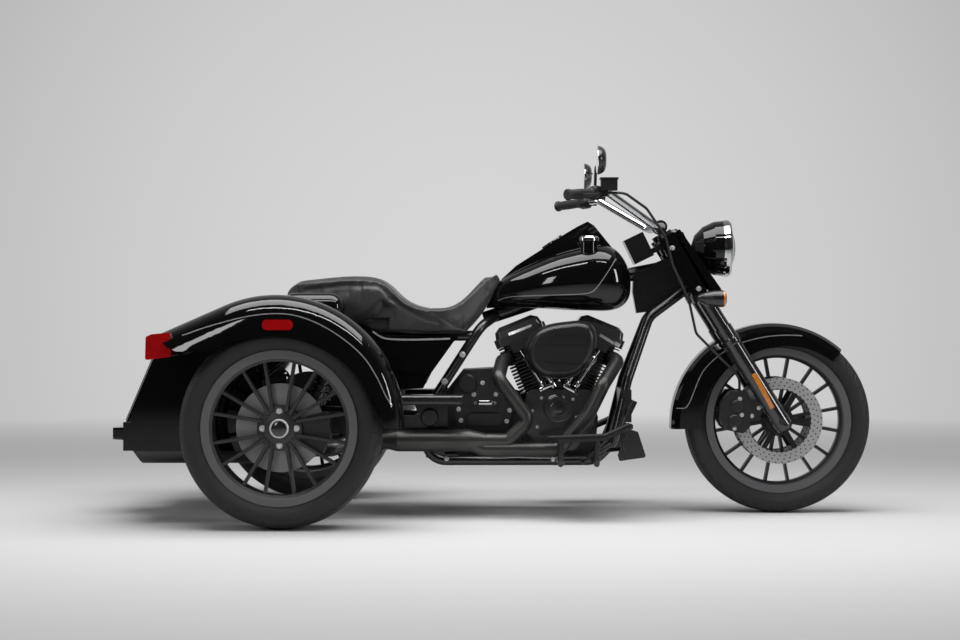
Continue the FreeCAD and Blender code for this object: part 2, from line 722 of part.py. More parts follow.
def cylinder_axis(side):
    """Give the direction of the front (+1) or rear (-1) cylinder."""
    lean = math.radians(CYLINDER_LEAN) * side
    return V(math.sin(lean), 0, math.cos(lean))


def fin_plate(length, width, low, high, corner):
    """Make one cooling fin: a plate with round corners across local Z."""
    half_l = length / 2
    half_w = width / 2
    return flat_plate([(-half_l, -half_w), (half_l, -half_w), (half_l, half_w), (-half_l, half_w)], low,
                      high, corner)


def own_half(shape, side):
    """Trim a cylinder's fins where they would meet the other cylinder's."""
    gap = FIN_THICKNESS / 2
    low_x = CRANK_X + gap if side > 0 else CRANK_X - 500
    high_x = CRANK_X + 500 if side > 0 else CRANK_X - gap
    return shape.common(block(low_x, high_x, -300, 300, CRANK_Z, CRANK_Z + 700))


def cylinder(side):
    """Make a barrel with its stack of fins."""
    barrel = Part.makeCylinder(BORE_RADIUS, CYLINDER_HEIGHT - SEAT, V(0, 0, CYLINDER_BASE))
    pieces = [barrel]
    count = int(CYLINDER_HEIGHT / FIN_PITCH)
    for index in range(count):
        low = CYLINDER_BASE + FIN_PITCH * (index + 0.5)
        if low + FIN_THICKNESS < CYLINDER_BASE + CYLINDER_HEIGHT - SEAT:
            pieces.append(fin_plate(FIN_RADIUS * 2, FIN_RADIUS * 2, low, low + FIN_THICKNESS,
                                    FIN_RADIUS * 0.5))
    whole = placed(fused(pieces), V(CRANK_X, 0, CRANK_Z), cylinder_axis(side))
    return own_half(whole, side)


def head(side):
    """Make a cylinder head: a finned block with its pushrod boss."""
    low = CYLINDER_BASE + CYLINDER_HEIGHT
    top = low + HEAD_HEIGHT - SEAT
    core = fin_plate(HEAD_LENGTH * 0.8, HEAD_WIDTH * 0.8, low, top, 20)
    pieces = [core]
    for index in range(int(HEAD_HEIGHT / FIN_PITCH)):
        z = low + FIN_PITCH * (index + 0.3)
        pieces.append(fin_plate(HEAD_LENGTH, HEAD_WIDTH, z, z + FIN_THICKNESS, 24))
    boss_y = -PUSHROD_Y - PUSHROD_RADIUS - 4
    pieces.append(block(-46, 46, boss_y, -HEAD_WIDTH * 0.4, top + SEAT - BOSS_HEIGHT, top))
    face, run = port_place(side)
    pieces.append(rod(face - run * PORT_LENGTH, face, HEADER_RADIUS + 2))
    face, run = intake_place(side)
    pieces.append(rod(face - run * PORT_LENGTH, face, INTAKE_RADIUS))
    whole = placed(fused(pieces), V(CRANK_X, 0, CRANK_Z), cylinder_axis(side))
    return own_half(whole, side)


def rocker_box(side):
    """Make the two-step rocker box on top of a head."""
    low = CYLINDER_BASE + CYLINDER_HEIGHT + HEAD_HEIGHT
    lower = fin_plate(HEAD_LENGTH + 8, HEAD_WIDTH + 22, low, low + ROCKER_HEIGHT * 0.45, 22)
    wires = []
    for z, inset in ((low + ROCKER_HEIGHT * 0.45, 8), (low + ROCKER_HEIGHT * 0.8, 14),
                     (low + ROCKER_HEIGHT, 34)):
        half_l = HEAD_LENGTH / 2 + 4 - inset
        half_w = HEAD_WIDTH / 2 + 11 - inset
        corners = [V(-half_l, -half_w, z), V(half_l, -half_w, z), V(half_l, half_w, z),
                   V(-half_l, half_w, z)]
        wires.append(closed_path(corners, 18))
    upper = Part.makeLoft(wires, True, True)
    return placed(fused([lower, upper]), V(CRANK_X, 0, CRANK_Z), cylinder_axis(side))


def pushrods():
    """Make the four pushrod tubes that splay from the cam cover."""
    tubes = []
    reach = CYLINDER_BASE + CYLINDER_HEIGHT + HEAD_HEIGHT - BOSS_HEIGHT - SEAT
    for side in (-1, 1):
        axis = cylinder_axis(side)
        along = V(axis.z, 0, -axis.x)
        for shift, foot_x in ((-20, 16), (20, 48)):
            top = V(CRANK_X, -PUSHROD_Y, CRANK_Z) + axis * reach + along * shift * side
            foot = V(CRANK_X + side * foot_x, -PUSHROD_Y, CAM_TOP_Z)
            tubes.append(pushrod(foot, top, axis))
    return tubes


def pushrod(foot, top, boss_axis):
    """Turn one pushrod tube, ended just short of its seats."""
    run = top - foot
    length = run.Length
    base_r = PUSHROD_RADIUS + 3
    thin_r = PUSHROD_RADIUS * 0.8
    low = seat_back(run.getAngle(Z_AXIS), base_r)
    high = length - seat_back(run.getAngle(boss_axis), thin_r)
    profile = [(0, low), (base_r, low), (base_r, low + 18), (thin_r, low + 22), (thin_r, length * 0.5),
               (PUSHROD_RADIUS, length * 0.5 + 4), (PUSHROD_RADIUS, length * 0.8),
               (thin_r, length * 0.8 + 4),
               (thin_r, high), (0, high)]
    return turned(profile, foot, run)


def seat_back(lean, radius):
    """Give how far a leaning round end stops short of a flat seat."""
    return (SEAT + radius * math.sin(lean)) / math.cos(lean)


def crankcase():
    """Make the crankcase with faces square to the two cylinders."""
    face_z = CYLINDER_BASE - SEAT
    lean = math.radians(CYLINDER_LEAN)
    peak = face_z / math.cos(lean)
    shoulder_x = face_z * math.sin(lean) + CRANKCASE_FACE * math.cos(lean)
    shoulder_z = face_z * math.cos(lean) - CRANKCASE_FACE * math.sin(lean)
    foot_z = RAIL_Z + CROSS_RADIUS + SEAT - CRANK_Z
    right = [(shoulder_x, shoulder_z), (CRANKCASE_RADIUS + 14, 40), (CRANKCASE_RADIUS + 6, -50),
             (95, foot_z)]
    left = [(-x, z) for x, z in reversed(right)]
    outline = [(CRANK_X + x, CRANK_Z + z) for x, z in [(0, peak)] + right + left]
    body = side_plate(outline, -CRANKCASE_HALF_WIDTH, CRANKCASE_HALF_WIDTH)
    boss = rod(V(CRANK_X, 0, CRANK_Z), V(CRANK_X, PRIMARY_Y - SEAT, CRANK_Z), CRANKCASE_RADIUS * 0.8)
    return fused([body, boss])


def cam_cover():
    """Make the cam cover on the right of the crankcase, with its round cap."""
    inner = -CRANKCASE_HALF_WIDTH - SEAT
    outline = [(-128, 10), (-112, CAM_TOP_Z - CRANK_Z), (112, CAM_TOP_Z - CRANK_Z), (118, 20), (50, -70),
               (-60, -70)]
    points = [(CRANK_X + x, CRANK_Z + z) for x, z in outline]
    plate = side_plate(points, inner, inner - CAM_COVER_DEPTH, 22)
    centre = V(CRANK_X - 9, inner - CAM_COVER_DEPTH + 2, CRANK_Z + 74)
    cap = turned([(0, 0), (CAM_CAP_RADIUS, 0), (CAM_CAP_RADIUS, 12), (CAM_CAP_RADIUS - 4, 16), (0, 16)],
                 centre, RIGHT)
    return fused([plate, cap])


def gearbox():
    """Make the gearbox behind the crankcase, with its end cover and caps."""
    foot = RAIL_Z + CROSS_RADIUS + SEAT
    front = CRANK_X - CRANKCASE_RADIUS - 18
    face = -GEARBOX_HALF_WIDTH - GEARBOX_COVER_DEPTH
    outline = [(front, foot + 40), (front, 394), (718, 452), (690, 500), (580, 494), (522, 420),
               (522, foot + 40),
               (570, foot), (front - 30, foot)]
    case = side_plate(outline, -GEARBOX_HALF_WIDTH, GEARBOX_HALF_WIDTH)
    cover = side_plate([(553, 285), (553, 368), (542, 402), (572, 490), (678, 496), (723, 416), (747, 354),
                        (737, 292)],
                       face, -GEARBOX_HALF_WIDTH + 1, 12)
    cap = turned([(0, 0), (33, 0), (33, 12), (28, 18), (0, 18)], V(593, face, 448), RIGHT)
    lid = side_plate([(596, 306), (713, 306), (713, 346), (596, 346)], face - 16, face + 1, 14)
    bridge = side_plate([(616, 356), (694, 356), (694, 388), (616, 388)], face - 10, face + 1, 8)
    return fused([case, cover, cap, lid, bridge])


def primary_cover():
    """Make the primary drive's cover on the left of the engine."""
    rail_top = RAIL_Z + TUBE_RADIUS
    rear_x = GEARBOX_X + 60
    rear_z = CRANK_Z + 34
    front_r = CRANK_Z - rail_top - 2
    rear_r = rear_z - rail_top - 2
    wires = []
    for y, inset in ((PRIMARY_Y, 0), (PRIMARY_Y + PRIMARY_DEPTH * 0.7, 4), (PRIMARY_Y + PRIMARY_DEPTH, 20)):
        wires.append(stadium_wire(CRANK_X, CRANK_Z, front_r - inset, rear_x, rear_z, rear_r - inset, y))
    return Part.makeLoft(wires, True, True)


def stadium_wire(front_x, front_z, front_r, rear_x, rear_z, rear_r, y):
    """Draw the loop round two circles that lie in one side plane."""
    run = math.hypot(front_x - rear_x, front_z - rear_z)
    slope = math.degrees(math.atan2(front_z - rear_z, front_x - rear_x))
    spread = math.degrees(math.acos((rear_r - front_r) / run))

    def on_circle(x, z, r, angle):
        turn = math.radians(slope + angle)
        return V(x + r * math.cos(turn), y, z + r * math.sin(turn))

    front = [on_circle(front_x, front_z, front_r, a) for a in (-spread, 0, spread)]
    rear = [on_circle(rear_x, rear_z, rear_r, a) for a in (spread, 180, 360 - spread)]
    edges = [Part.Arc(*front).toShape(), Part.LineSegment(front[2], rear[0]).toShape(),
             Part.Arc(*rear).toShape(), Part.LineSegment(rear[2], front[0]).toShape()]
    return Part.Wire(edges)


def air_cleaner():
    """Make the air cleaner: an egg-shaped cover with a domed edge and a recess."""
    outline = [
        (-126, -21), (-117, 21), (-88, 57), (-40, 78), (20, 87), (74, 87), (98, 75), (113, 45), (110, -3),
        (74, -69),
        (44, -93), (-15, -102), (-75, -93), (-105, -69),
    ]
    wires = []
    for share, size in ((0.0, 0.94), (0.1, 1.0), (0.62, 1.0), (0.86, 0.94), (1.0, 0.8)):
        y = -AIR_CLEANER_Y - AIR_CLEANER_DEPTH * share
        wires.append(smooth_loop([V(CRANK_X + 6 + x * size, y, 572 + z * size) for x, z in outline]))
    cover = Part.makeLoft(wires, True, False)
    front = -AIR_CLEANER_Y - AIR_CLEANER_DEPTH
    recess = side_plate([(862, 580), (1000, 580), (1004, 618), (886, 618)], front - 1, front + 4, 9)
    groove = side_plate([(850, 528), (990, 518), (990, 514), (850, 524)], front - 1, front + 3)
    return cover.cut(recess).cut(groove)


def intake():
    """Make the intake: a runner to each head, joined by a stem to the throttle body."""
    crank = V(CRANK_X, 0, CRANK_Z)
    pieces = []
    for side in (-1, 1):
        turn = FreeCAD.Rotation(Z_AXIS, cylinder_axis(side))
        face, run = intake_place(side)
        start = crank + turn.multVec(face + run * SEAT)
        step = turn.multVec(run)
        centre = start + step * ((CRANK_X - start.x) / step.x)
        pieces.append(rod(start, centre, INTAKE_RADIUS))
    z = centre.z
    pieces.append(rod(V(CRANK_X, INTAKE_RADIUS, z), V(CRANK_X, -AIR_CLEANER_Y + SEAT, z), INTAKE_RADIUS))
    pieces.append(block(CRANK_X - 30, CRANK_X + 30, -AIR_CLEANER_Y + 8, -HEAD_WIDTH / 2 - 21, z - 30,
                        z + 30))
    return fused(pieces)


def port_place(side):
    """Give an exhaust port's face and run in its cylinder's own frame."""
    turn = math.radians(PORT_TURN)
    run = V(side * math.cos(turn), -math.sin(turn), 0)
    root = V(side * (HEAD_LENGTH / 2 - PORT_INSET), -PORT_Y, CYLINDER_BASE + CYLINDER_HEIGHT + PORT_HEIGHT)
    return root + run * PORT_LENGTH, run


def intake_place(side):
    """Give a head's intake face and its run, in its cylinder's own frame."""
    run = V(-side, 0, 0)
    face = run * (HEAD_LENGTH / 2 + INTAKE_FLANGE) + V(0, 0,
                                                       CYLINDER_BASE + CYLINDER_HEIGHT + INTAKE_HEIGHT)
    return face, run


def port_points(side):
    """Give the two points of a header's first run, out of its port."""
    face, run = port_place(side)
    turn = FreeCAD.Rotation(Z_AXIS, cylinder_axis(side))
    crank = V(CRANK_X, 0, CRANK_Z)
    return [crank + turn.multVec(face + run * step) for step in (SEAT, PORT_RUN)]


def exhaust_pipes():
    """Join the two headers, the collector and the crossover to the left side."""
    y = -EXHAUST_Y
    rear = tube(port_points(-1) + [
        V(CRANK_X - 212, y + 14, 470), V(CRANK_X - 108, y, 330), V(CRANK_X - 180, y, EXHAUST_Z),
        V(300, y, EXHAUST_Z),
    ], HEADER_RADIUS, 32)
    front = tube(port_points(1) + [
        V(CRANK_X + 140, y + 10, 448), V(CRANK_X + 92, y, 352), V(CRANK_X - 10, y, EXHAUST_Z - 30),
        V(CRANK_X - 260, y, EXHAUST_Z - 30), V(CRANK_X - 330, y, EXHAUST_Z),
    ], HEADER_RADIUS, 32)
    start = CRANK_X - 250
    collector = turned([(0, 0), (HEADER_RADIUS, 0), (COLLECTOR_RADIUS, 60), (COLLECTOR_RADIUS, 300),
                        (HEADER_RADIUS, 350), (0, 350)], V(start, y, EXHAUST_Z), V(-1, 0, 0))
    lead = MUFFLER_FRONT_X + 56
    right = tube([V(start - 340, y, EXHAUST_Z), V(lead + 60, y - 6, EXHAUST_Z),
                  V(lead, -MUFFLER_Y, MUFFLER_Z),
                  V(MUFFLER_FRONT_X + SEAT, -MUFFLER_Y, MUFFLER_Z)], HEADER_RADIUS, 30)
    cross = tube([V(start - 318, y, EXHAUST_Z - 8), V(start - 370, y + 110, CROSSOVER_Z),
                  V(lead + 90, MUFFLER_Y - 160, CROSSOVER_Z), V(lead, MUFFLER_Y, MUFFLER_Z),
                  V(MUFFLER_FRONT_X + SEAT, MUFFLER_Y, MUFFLER_Z)], HEADER_RADIUS * 0.85, 30)
    return fused([rear, front, collector, right, cross])


def muffler():
    """Make the right muffler: a long can with a slash-cut, open end."""
    length = MUFFLER_FRONT_X - MUFFLER_REAR_X
    can = turned([(0, 0), (HEADER_RADIUS, 0), (MUFFLER_RADIUS, 50), (MUFFLER_RADIUS, length), (0, length)],
                 V(MUFFLER_FRONT_X, -MUFFLER_Y, MUFFLER_Z), V(-1, 0, 0))
    end_z = MUFFLER_Z - MUFFLER_RADIUS
    slash = side_plate([
        (MUFFLER_REAR_X - 50, MUFFLER_Z + MUFFLER_RADIUS + 5),
        (MUFFLER_REAR_X, MUFFLER_Z + MUFFLER_RADIUS + 5),
        (MUFFLER_REAR_X + MUFFLER_RADIUS * 1.4, end_z - 5), (MUFFLER_REAR_X - 50, end_z - 5),
    ], -MUFFLER_Y - 100, -MUFFLER_Y + 100)
    bore = rod(V(MUFFLER_REAR_X - 20, -MUFFLER_Y, MUFFLER_Z),
               V(MUFFLER_REAR_X + 150, -MUFFLER_Y, MUFFLER_Z),
               MUFFLER_RADIUS - 4)
    return can.cut(slash).cut(bore)


def smooth_loop(points):
    """Draw one closed smooth curve through points."""
    curve = Part.BSplineCurve()
    curve.interpolate(Points=points, PeriodicFlag=True)
    return Part.Wire(curve.toShape())


def lobe_section(x, low, high, half_width):
    """Draw a tank section: a flat-bottomed egg across the vehicle."""
    height = high - low
    half = [(0.0, 0.0), (0.35, 0.0), (0.68, 0.04), (0.95, 0.24), (1.0, 0.5), (0.86, 0.8), (0.5, 0.96),
            (0.0, 1.0)]
    right = [V(x, -half_width * a, low + height * b) for a, b in half]
    left = [V(x, half_width * a, low + height * b) for a, b in reversed(half[1:-1])]
    return smooth_loop(right + left)


def fuel_tank():
    """Loft the tank along its length and cut its tunnel over the backbone."""
    stations = [
        (660, 704, 728, 30), (700, 706, 796, 78), (760, 706, 834, 108), (860, 704, 882, 140),
        (960, 698, 914, 156),
        (1040, 696, 928, 156), (1100, 700, 912, 138), (1138, 722, 868, 108), (1155, 762, 816, 58),
    ]
    wires = [lobe_section(*station) for station in stations]
    shell = Part.makeLoft(wires, True, False)
    run = backbone_points()
    reach = BACKBONE_RADIUS + SEAT
    slot = side_plate([(p.x, p.z) for p in run] + [(run[2].x, 600), (run[0].x, 600)], -reach, reach)
    return shell.cut(tube(run, reach, BACKBONE_BEND)).cut(slot)


def console_outline():
    """Give the side outline of the dash console along the tank's top."""
    return [(700, 770), (712, 806), (762, 852), (850, 908), (925, 958), (972, 986), (1008, 1004),
            (1030, 990),
            (1072, 938), (1100, 905), (1090, 860), (1000, 860), (800, 800)]


def tank_console(tank):
    """Make the dash console that sits on the tank."""
    plan = [(698, -26), (780, -40), (920, -CONSOLE_HALF_WIDTH), (1030, -CONSOLE_HALF_WIDTH), (1104, -34),
            (1104, 34),
            (1030, CONSOLE_HALF_WIDTH), (920, CONSOLE_HALF_WIDTH), (780, 40), (698, 26)]
    body = side_plate(console_outline(), -CONSOLE_HALF_WIDTH - 5, CONSOLE_HALF_WIDTH + 5)
    body = body.common(flat_plate(plan, 700, 1100))
    half = CONSOLE_HALF_WIDTH
    across = [(-half - 6, 740), (-half, 880), (-half * 0.8, 960), (-half * 0.62, 1015), (half * 0.62, 1015),
              (half * 0.8, 960), (half, 880), (half + 6, 740)]
    points = [V(690, y, z) for y, z in across]
    front_view = Part.Face(closed_path(points, 12)).extrude(V(430, 0, 0))
    body = body.common(front_view)
    grown = tank.copy()
    grown.translate(V(0, 0, SEAT))
    body = body.cut(grown)
    pieces = sorted(body.Solids, key=lambda solid: solid.Volume)
    return pieces[-1]


def fuel_cap(tank):
    """Turn the fuel cap that stands on the tank's right lobe."""
    spot = V(FUEL_CAP_X, -FUEL_CAP_Y, 940)
    cap = turned([(0, -60), (FUEL_CAP_RADIUS - 6, -60), (FUEL_CAP_RADIUS - 6, -8), (FUEL_CAP_RADIUS, -6),
                  (FUEL_CAP_RADIUS, 6), (FUEL_CAP_RADIUS - 6, 12), (0, 14)], spot)
    grown = tank.copy()
    grown.translate(V(0, 0, SEAT))
    pieces = sorted(cap.cut(grown).Solids, key=lambda solid: solid.CenterOfMass.z)
    return pieces[-1]


def smooth_face(curved, straight):
    """Make a face bounded by a smooth curve and then by straight runs."""
    curve = Part.BSplineCurve()
    curve.interpolate(curved)
    edges = [curve.toShape()]
    run = [curved[-1]] + straight + [curved[0]]
    for first, second in zip(run, run[1:]):
        edges.append(Part.LineSegment(first, second).toShape())
    return Part.Face(Part.Wire(edges))


def seat_top():
    """Give the points of the saddle's top line, from its tail to its nose."""
    return [(-30, 752), (-14, 776), (60, 795), (150, 804), (240, 806), (292, 798), (334, 770), (372, 733),
            (420, 707),
            (490, 697), (548, 707), (606, 750), (658, 804), (694, 830)]


def seat_plan():
    """Give the points of the saddle's right edge seen from above, tail to nose."""
    return [(-32, -96), (0, -132), (60, -150), (200, -168), (330, -190), (430, -202), (520, -192),
            (600, -140),
            (660, -92), (712, -62)]


def seat(tank):
    """Make the plain two-up saddle: its side outline within its plan outline."""
    base = SEAT_RAIL_Z + TUBE_RADIUS + SEAT
    under = [
        (706, 812), (668, 736), (640, 690), (596, base), (BODY_TOP_X + 26, base),
        (BODY_TOP_X + 8, DECK_FRONT_Z + 4), (BODY_TOP_X - 24, DECK_FRONT_Z + SEAT), (-26, DECK_FRONT_Z - 7),
    ]
    side = smooth_face([V(x, -SEAT_HALF_WIDTH, z) for x, z in seat_top()],
                       [V(x, -SEAT_HALF_WIDTH, z) for x, z in under])
    body = side.extrude(V(0, SEAT_HALF_WIDTH * 2, 0))
    low = SEAT_RAIL_Z - 50
    right = [V(x, y, low) for x, y in seat_plan()]
    half = smooth_face(right, [V(right[-1].x, 0, low), V(right[0].x, 0, low)]).extrude(V(0, 0, 300))
    body = body.common(half.fuse(mirrored(half)))
    for step in (V(-SEAT, 0, 0), V(0, 0, SEAT)):
        room = tank.copy()
        room.translate(step)
        body = body.cut(room)
    inner = RAIL_Y + TUBE_RADIUS
    for y in (-inner - 100, inner):
        body = body.cut(block(BODY_TOP_X, 330, y, y + 100, SEAT_RAIL_Z, SEAT_RAIL_Z + 58))
    return max(body.Solids, key=lambda solid: solid.Volume)


def side_cover():
    """Make the right side cover under the saddle, seated on the frame."""
    inner = -RAIL_Y - TUBE_RADIUS - SEAT
    outline = [(214, 664), (280, 636), (322, 612), (394, 605), (538, 610), (578, 618), (548, 592),
               (466, 478),
               (446, 436), (330, 430), (240, 520)]
    plate = side_plate(outline, inner, inner - SIDE_COVER_DEPTH, 6)
    recess = side_plate([(352, 438), (448, 438), (462, 480), (352, 500)], inner - SIDE_COVER_DEPTH + 8,
                        inner - SIDE_COVER_DEPTH - 2, 8)
    return plate.cut(recess)


def body_outline():
    """Give the side outline of the rear body above its seam."""
    return [
        (BODY_REAR_X, BODY_SEAM_Z), (BODY_REAR_X + 88, 540), (BODY_REAR_X + 126, DOOR_TOP_Z + 12),
        (-330, DECK_REAR_Z), (-150, DECK_MIDDLE_Z), (BODY_TOP_X - 24, DECK_FRONT_Z),
        (BODY_TOP_X, DECK_FRONT_Z - 14),
        (BODY_TOP_X, DECK_FRONT_Z - 100), (BODY_FRONT_X, 470), (BODY_FRONT_X, BODY_SEAM_Z),
    ]


def rear_body():
    """Make the shell of the rear body: deck, sides and front, open at the door."""
    outer = side_plate(body_outline(), -BODY_HALF_WIDTH, BODY_HALF_WIDTH)
    rims = [edge for edge in outer.Edges if edge.BoundBox.YLength < 1 and edge.BoundBox.ZMax > BODY_SEAM_Z + 1]
    outer = outer.makeFillet(BODY_EDGE_RADIUS, rims)
    skin = BODY_SKIN
    behind = BODY_REAR_X - 60
    inner = [
        (behind, BODY_SEAM_Z - 10), (behind, DOOR_TOP_Z), (BODY_REAR_X + 122, DOOR_TOP_Z),
        (BODY_REAR_X + 130, DOOR_TOP_Z + 10), (-328, DECK_REAR_Z - skin), (-148, DECK_MIDDLE_Z - skin),
        (BODY_TOP_X - 26, DECK_FRONT_Z - skin), (BODY_TOP_X - skin, DECK_FRONT_Z - 16),
        (BODY_TOP_X - skin, DECK_FRONT_Z - 99), (BODY_FRONT_X - skin, 472),
        (BODY_FRONT_X - skin, BODY_SEAM_Z - 10),
    ]
    cavity = side_plate(inner, skin - BODY_HALF_WIDTH, BODY_HALF_WIDTH - skin)
    return outer.cut(cavity)


def trunk_tub():
    """Make the trunk's liner: floor, sides and front, open at the rear and top."""
    half = BODY_HALF_WIDTH - BODY_SKIN - SEAT
    front = BODY_FRONT_X - BODY_SKIN - SEAT
    rear = BODY_REAR_X + DOOR_THICKNESS + 10
    top = DOOR_TOP_Z - 12
    slope = (top - BODY_SEAM_Z) * 0.46
    outer = side_plate([(rear, TUB_FLOOR_Z), (rear, BODY_SEAM_Z), (rear + slope, top), (front, top - 110),
                        (front, TUB_FLOOR_Z)], -half, half)
    cavity = side_plate([(rear - 5, TUB_FLOOR_Z + TUB_WALL), (rear - 5, top + 5),
                         (front - TUB_WALL, top + 5),
                         (front - TUB_WALL, TUB_FLOOR_Z + TUB_WALL)], TUB_WALL - half, half - TUB_WALL)
    return outer.cut(cavity)


def rear_valance():
    """Make the lower panel round the trunk, cut out over the mufflers."""
    top = BODY_SEAM_Z - SEAT
    half = BODY_HALF_WIDTH
    outer = block(BODY_REAR_X - 4, VALANCE_FRONT_X, -half, half, VALANCE_LOW_Z, top)
    inner = block(BODY_REAR_X, VALANCE_FRONT_X + 5, BODY_SKIN - half, half - BODY_SKIN, VALANCE_LOW_Z - 5,
                  top + 5)
    shell = outer.cut(inner)
    for y in (-MUFFLER_Y, MUFFLER_Y):
        hole = rod(V(BODY_REAR_X - 40, y, MUFFLER_Z), V(BODY_REAR_X + 40, y, MUFFLER_Z), MUFFLER_RADIUS + 5)
        shell = shell.cut(hole)
    return fused([shell, hinge_pin(-HINGE_Y), hinge_pin(HINGE_Y)])


def door_slope():
    """Give the unit run up the door's outer face."""
    return V(88, 0, 540 - BODY_SEAM_Z).normalize()


def trunk_door():
    """Make the tail door: a thick lower panel with a folded upper edge."""
    slope = door_slope()
    low = V(BODY_REAR_X, 0, BODY_SEAM_Z) + slope * (DOOR_HINGE_Z - BODY_SEAM_Z) * 1.05
    bend = V(BODY_REAR_X + 88, 0, 540)
    upper_run = V(38, 0, DOOR_TOP_Z + 12 - 540).normalize()
    top = bend + upper_run * ((DOOR_TOP_Z - DOOR_GAP - 540) / upper_run.z)
    inward = V(slope.z, 0, -slope.x) * DOOR_THICKNESS
    outline = [low, bend, top, top + V(DOOR_THICKNESS, 0, -2), bend + inward, low + inward]
    half = BODY_HALF_WIDTH - BODY_SKIN - DOOR_GAP
    door = side_plate([(p.x, p.z) for p in outline], -half, half)
    pin = V(HINGE_X, 0, HINGE_Z)
    leaf = side_plate([(pin.x - 2, pin.z - 2), (low.x + 2, low.z), (low.x + 2, low.z + 10),
                       (pin.x, pin.z + 5)],
                      -HINGE_HALF, HINGE_HALF)
    eye = rod(pin - Y_AXIS * HINGE_HALF, pin + Y_AXIS * HINGE_HALF, HINGE_RADIUS)
    bore = rod(pin - Y_AXIS * 100, pin + Y_AXIS * 100, PIN_RADIUS + FIT)
    knuckle = fused([leaf, eye]).cut(bore)
    pieces = [door]
    for y in (-HINGE_Y, HINGE_Y):
        piece = knuckle.copy()
        piece.translate(V(0, y, 0))
        pieces.append(piece)
    return fused(pieces)


def hinge_pin(y):
    """Make one hinge's pin with the two ears that hold it on the lower panel."""
    pin = V(HINGE_X, y, HINGE_Z)
    reach = HINGE_HALF + EAR_WIDTH + SEAT
    pieces = [rod(pin - Y_AXIS * reach, pin + Y_AXIS * reach, PIN_RADIUS)]
    for side in (-1, 1):
        near = y + side * (HINGE_HALF + SEAT)
        far = near + side * EAR_WIDTH
        ear = [(pin.x - HINGE_RADIUS, pin.z + 4), (pin.x + 4, pin.z + 4),
               (BODY_REAR_X - 1, BODY_SEAM_Z - 3),
               (BODY_REAR_X - 3, BODY_SEAM_Z - 16), (pin.x - HINGE_RADIUS, pin.z - 4)]
        pieces.append(side_plate(ear, min(near, far), max(near, far)))
    return fused(pieces)


def plate_bracket():
    """Make the licence plate bracket with its two holes."""
    base = BODY_REAR_X - 4 - SEAT
    face = -REAR_OVERHANG
    wires = []
    for x, half_y, low, high in ((base, 110, 250, 300), (face, 92, 256, 296)):
        corners = [V(x, -half_y, low), V(x, half_y, low), V(x, half_y, high), V(x, -half_y, high)]
        wires.append(closed_path(corners, 8))
    body = Part.makeLoft(wires, True, True)
    for y in (-PLATE_HOLE_SPACING / 2, PLATE_HOLE_SPACING / 2):
        body = body.cut(rod(V(face - 5, y, PLATE_Z), V(face + 30, y, PLATE_Z), PLATE_HOLE_RADIUS))
    return body


def fender_section():
    """Give the fender's outer and inner lines as pairs of Y and radial step."""
    half = FENDER_HALF_WIDTH
    inner = FENDER_INNER_Y
    skin = FENDER_SKIN
    outer_line = [(half, -150), (half, -100), (half - 4, -62), (half - 26, -24), (half - 80, -1),
                  (half - 125, -2),
                  (inner + 80, -20), (inner + 30, -44), (inner, -84)]
    inner_line = [(half - skin, -150), (half - skin, -100), (half - 8, -64), (half - 29, -28),
                  (half - 81, -5),
                  (half - 125, -6), (inner + 78, -24), (inner + 32, -48), (inner + skin, -84)]
    return outer_line, inner_line


def fender_wire(origin, outward):
    """Draw the fender's closed section, its crown at an origin."""
    lines = [[origin + V(0, -y, 0) + outward * step for y, step in line] for line in fender_section()]
    edges = []
    for points in lines:
        curve = Part.BSplineCurve()
        curve.interpolate(points)
        edges.append(curve.toShape())
    edges.insert(1, Part.LineSegment(lines[0][-1], lines[1][-1]).toShape())
    edges.append(Part.LineSegment(lines[1][0], lines[0][0]).toShape())
    return Part.Wire(Part.__sortEdges__(edges))


def fender_point(degrees):
    """Give a point of the fender's crown arc over the tyre."""
    turn = math.radians(degrees)
    return V(FENDER_CENTRE_X, 0, FENDER_CENTRE_Z) + V(math.cos(turn), 0, math.sin(turn)) * FENDER_RADIUS


def fender_tail():
    """Give the end of the crown's straight tail."""
    turn = math.radians(FENDER_TANGENT)
    run = V(-math.sin(turn), 0, math.cos(turn))
    end = fender_point(FENDER_TANGENT)
    return end + run * ((FENDER_TAIL_X - end.x) / run.x)


def fender_path():
    """Draw the crown's run: an arc over the tyre and a straight tail."""
    start, middle, end = fender_point(-2), fender_point(55), fender_point(FENDER_TANGENT)
    edges = [Part.Arc(start, middle, end).toShape(), Part.LineSegment(end, fender_tail()).toShape()]
    centre = V(FENDER_CENTRE_X, 0, FENDER_CENTRE_Z)
    return Part.Wire(edges), start, (start - centre).normalize()


def rear_fender():
    """Sweep the right fender's section along its crown, cut the arch and the tail."""
    path, start, outward = fender_path()
    shell = Part.BRepOffsetAPI.MakePipeShell(path)
    shell.setBiNormalMode(Y_AXIS)
    shell.add(fender_wire(start, outward))
    shell.build()
    shell.makeSolid()
    solid = shell.shape()
    far = -FENDER_HALF_WIDTH - 20
    near = -FENDER_INNER_Y - 30
    arch = rod(V(ARCH_CENTRE_X, far, ARCH_CENTRE_Z), V(ARCH_CENTRE_X, near, ARCH_CENTRE_Z), ARCH_RADIUS)
    below = block(FENDER_TAIL_X - 60, FENDER_CENTRE_X - 160, far, near, 300, FENDER_LOW_Z)
    tail = side_plate([
        (FENDER_TAIL_X - 60, FENDER_LOW_Z - 40), (FENDER_TAIL_X + 58, FENDER_LOW_Z - 40),
        (FENDER_TAIL_X + 58, FENDER_LOW_Z), (FENDER_TAIL_X + 24, FENDER_LOW_Z + 15),
        (FENDER_TAIL_X - 2, FENDER_LOW_Z + 44), (FENDER_TAIL_X - 60, FENDER_LOW_Z + 52),
    ], far, -FENDER_INNER_Y + 5)
    return solid.cut(arch).cut(below).cut(tail)


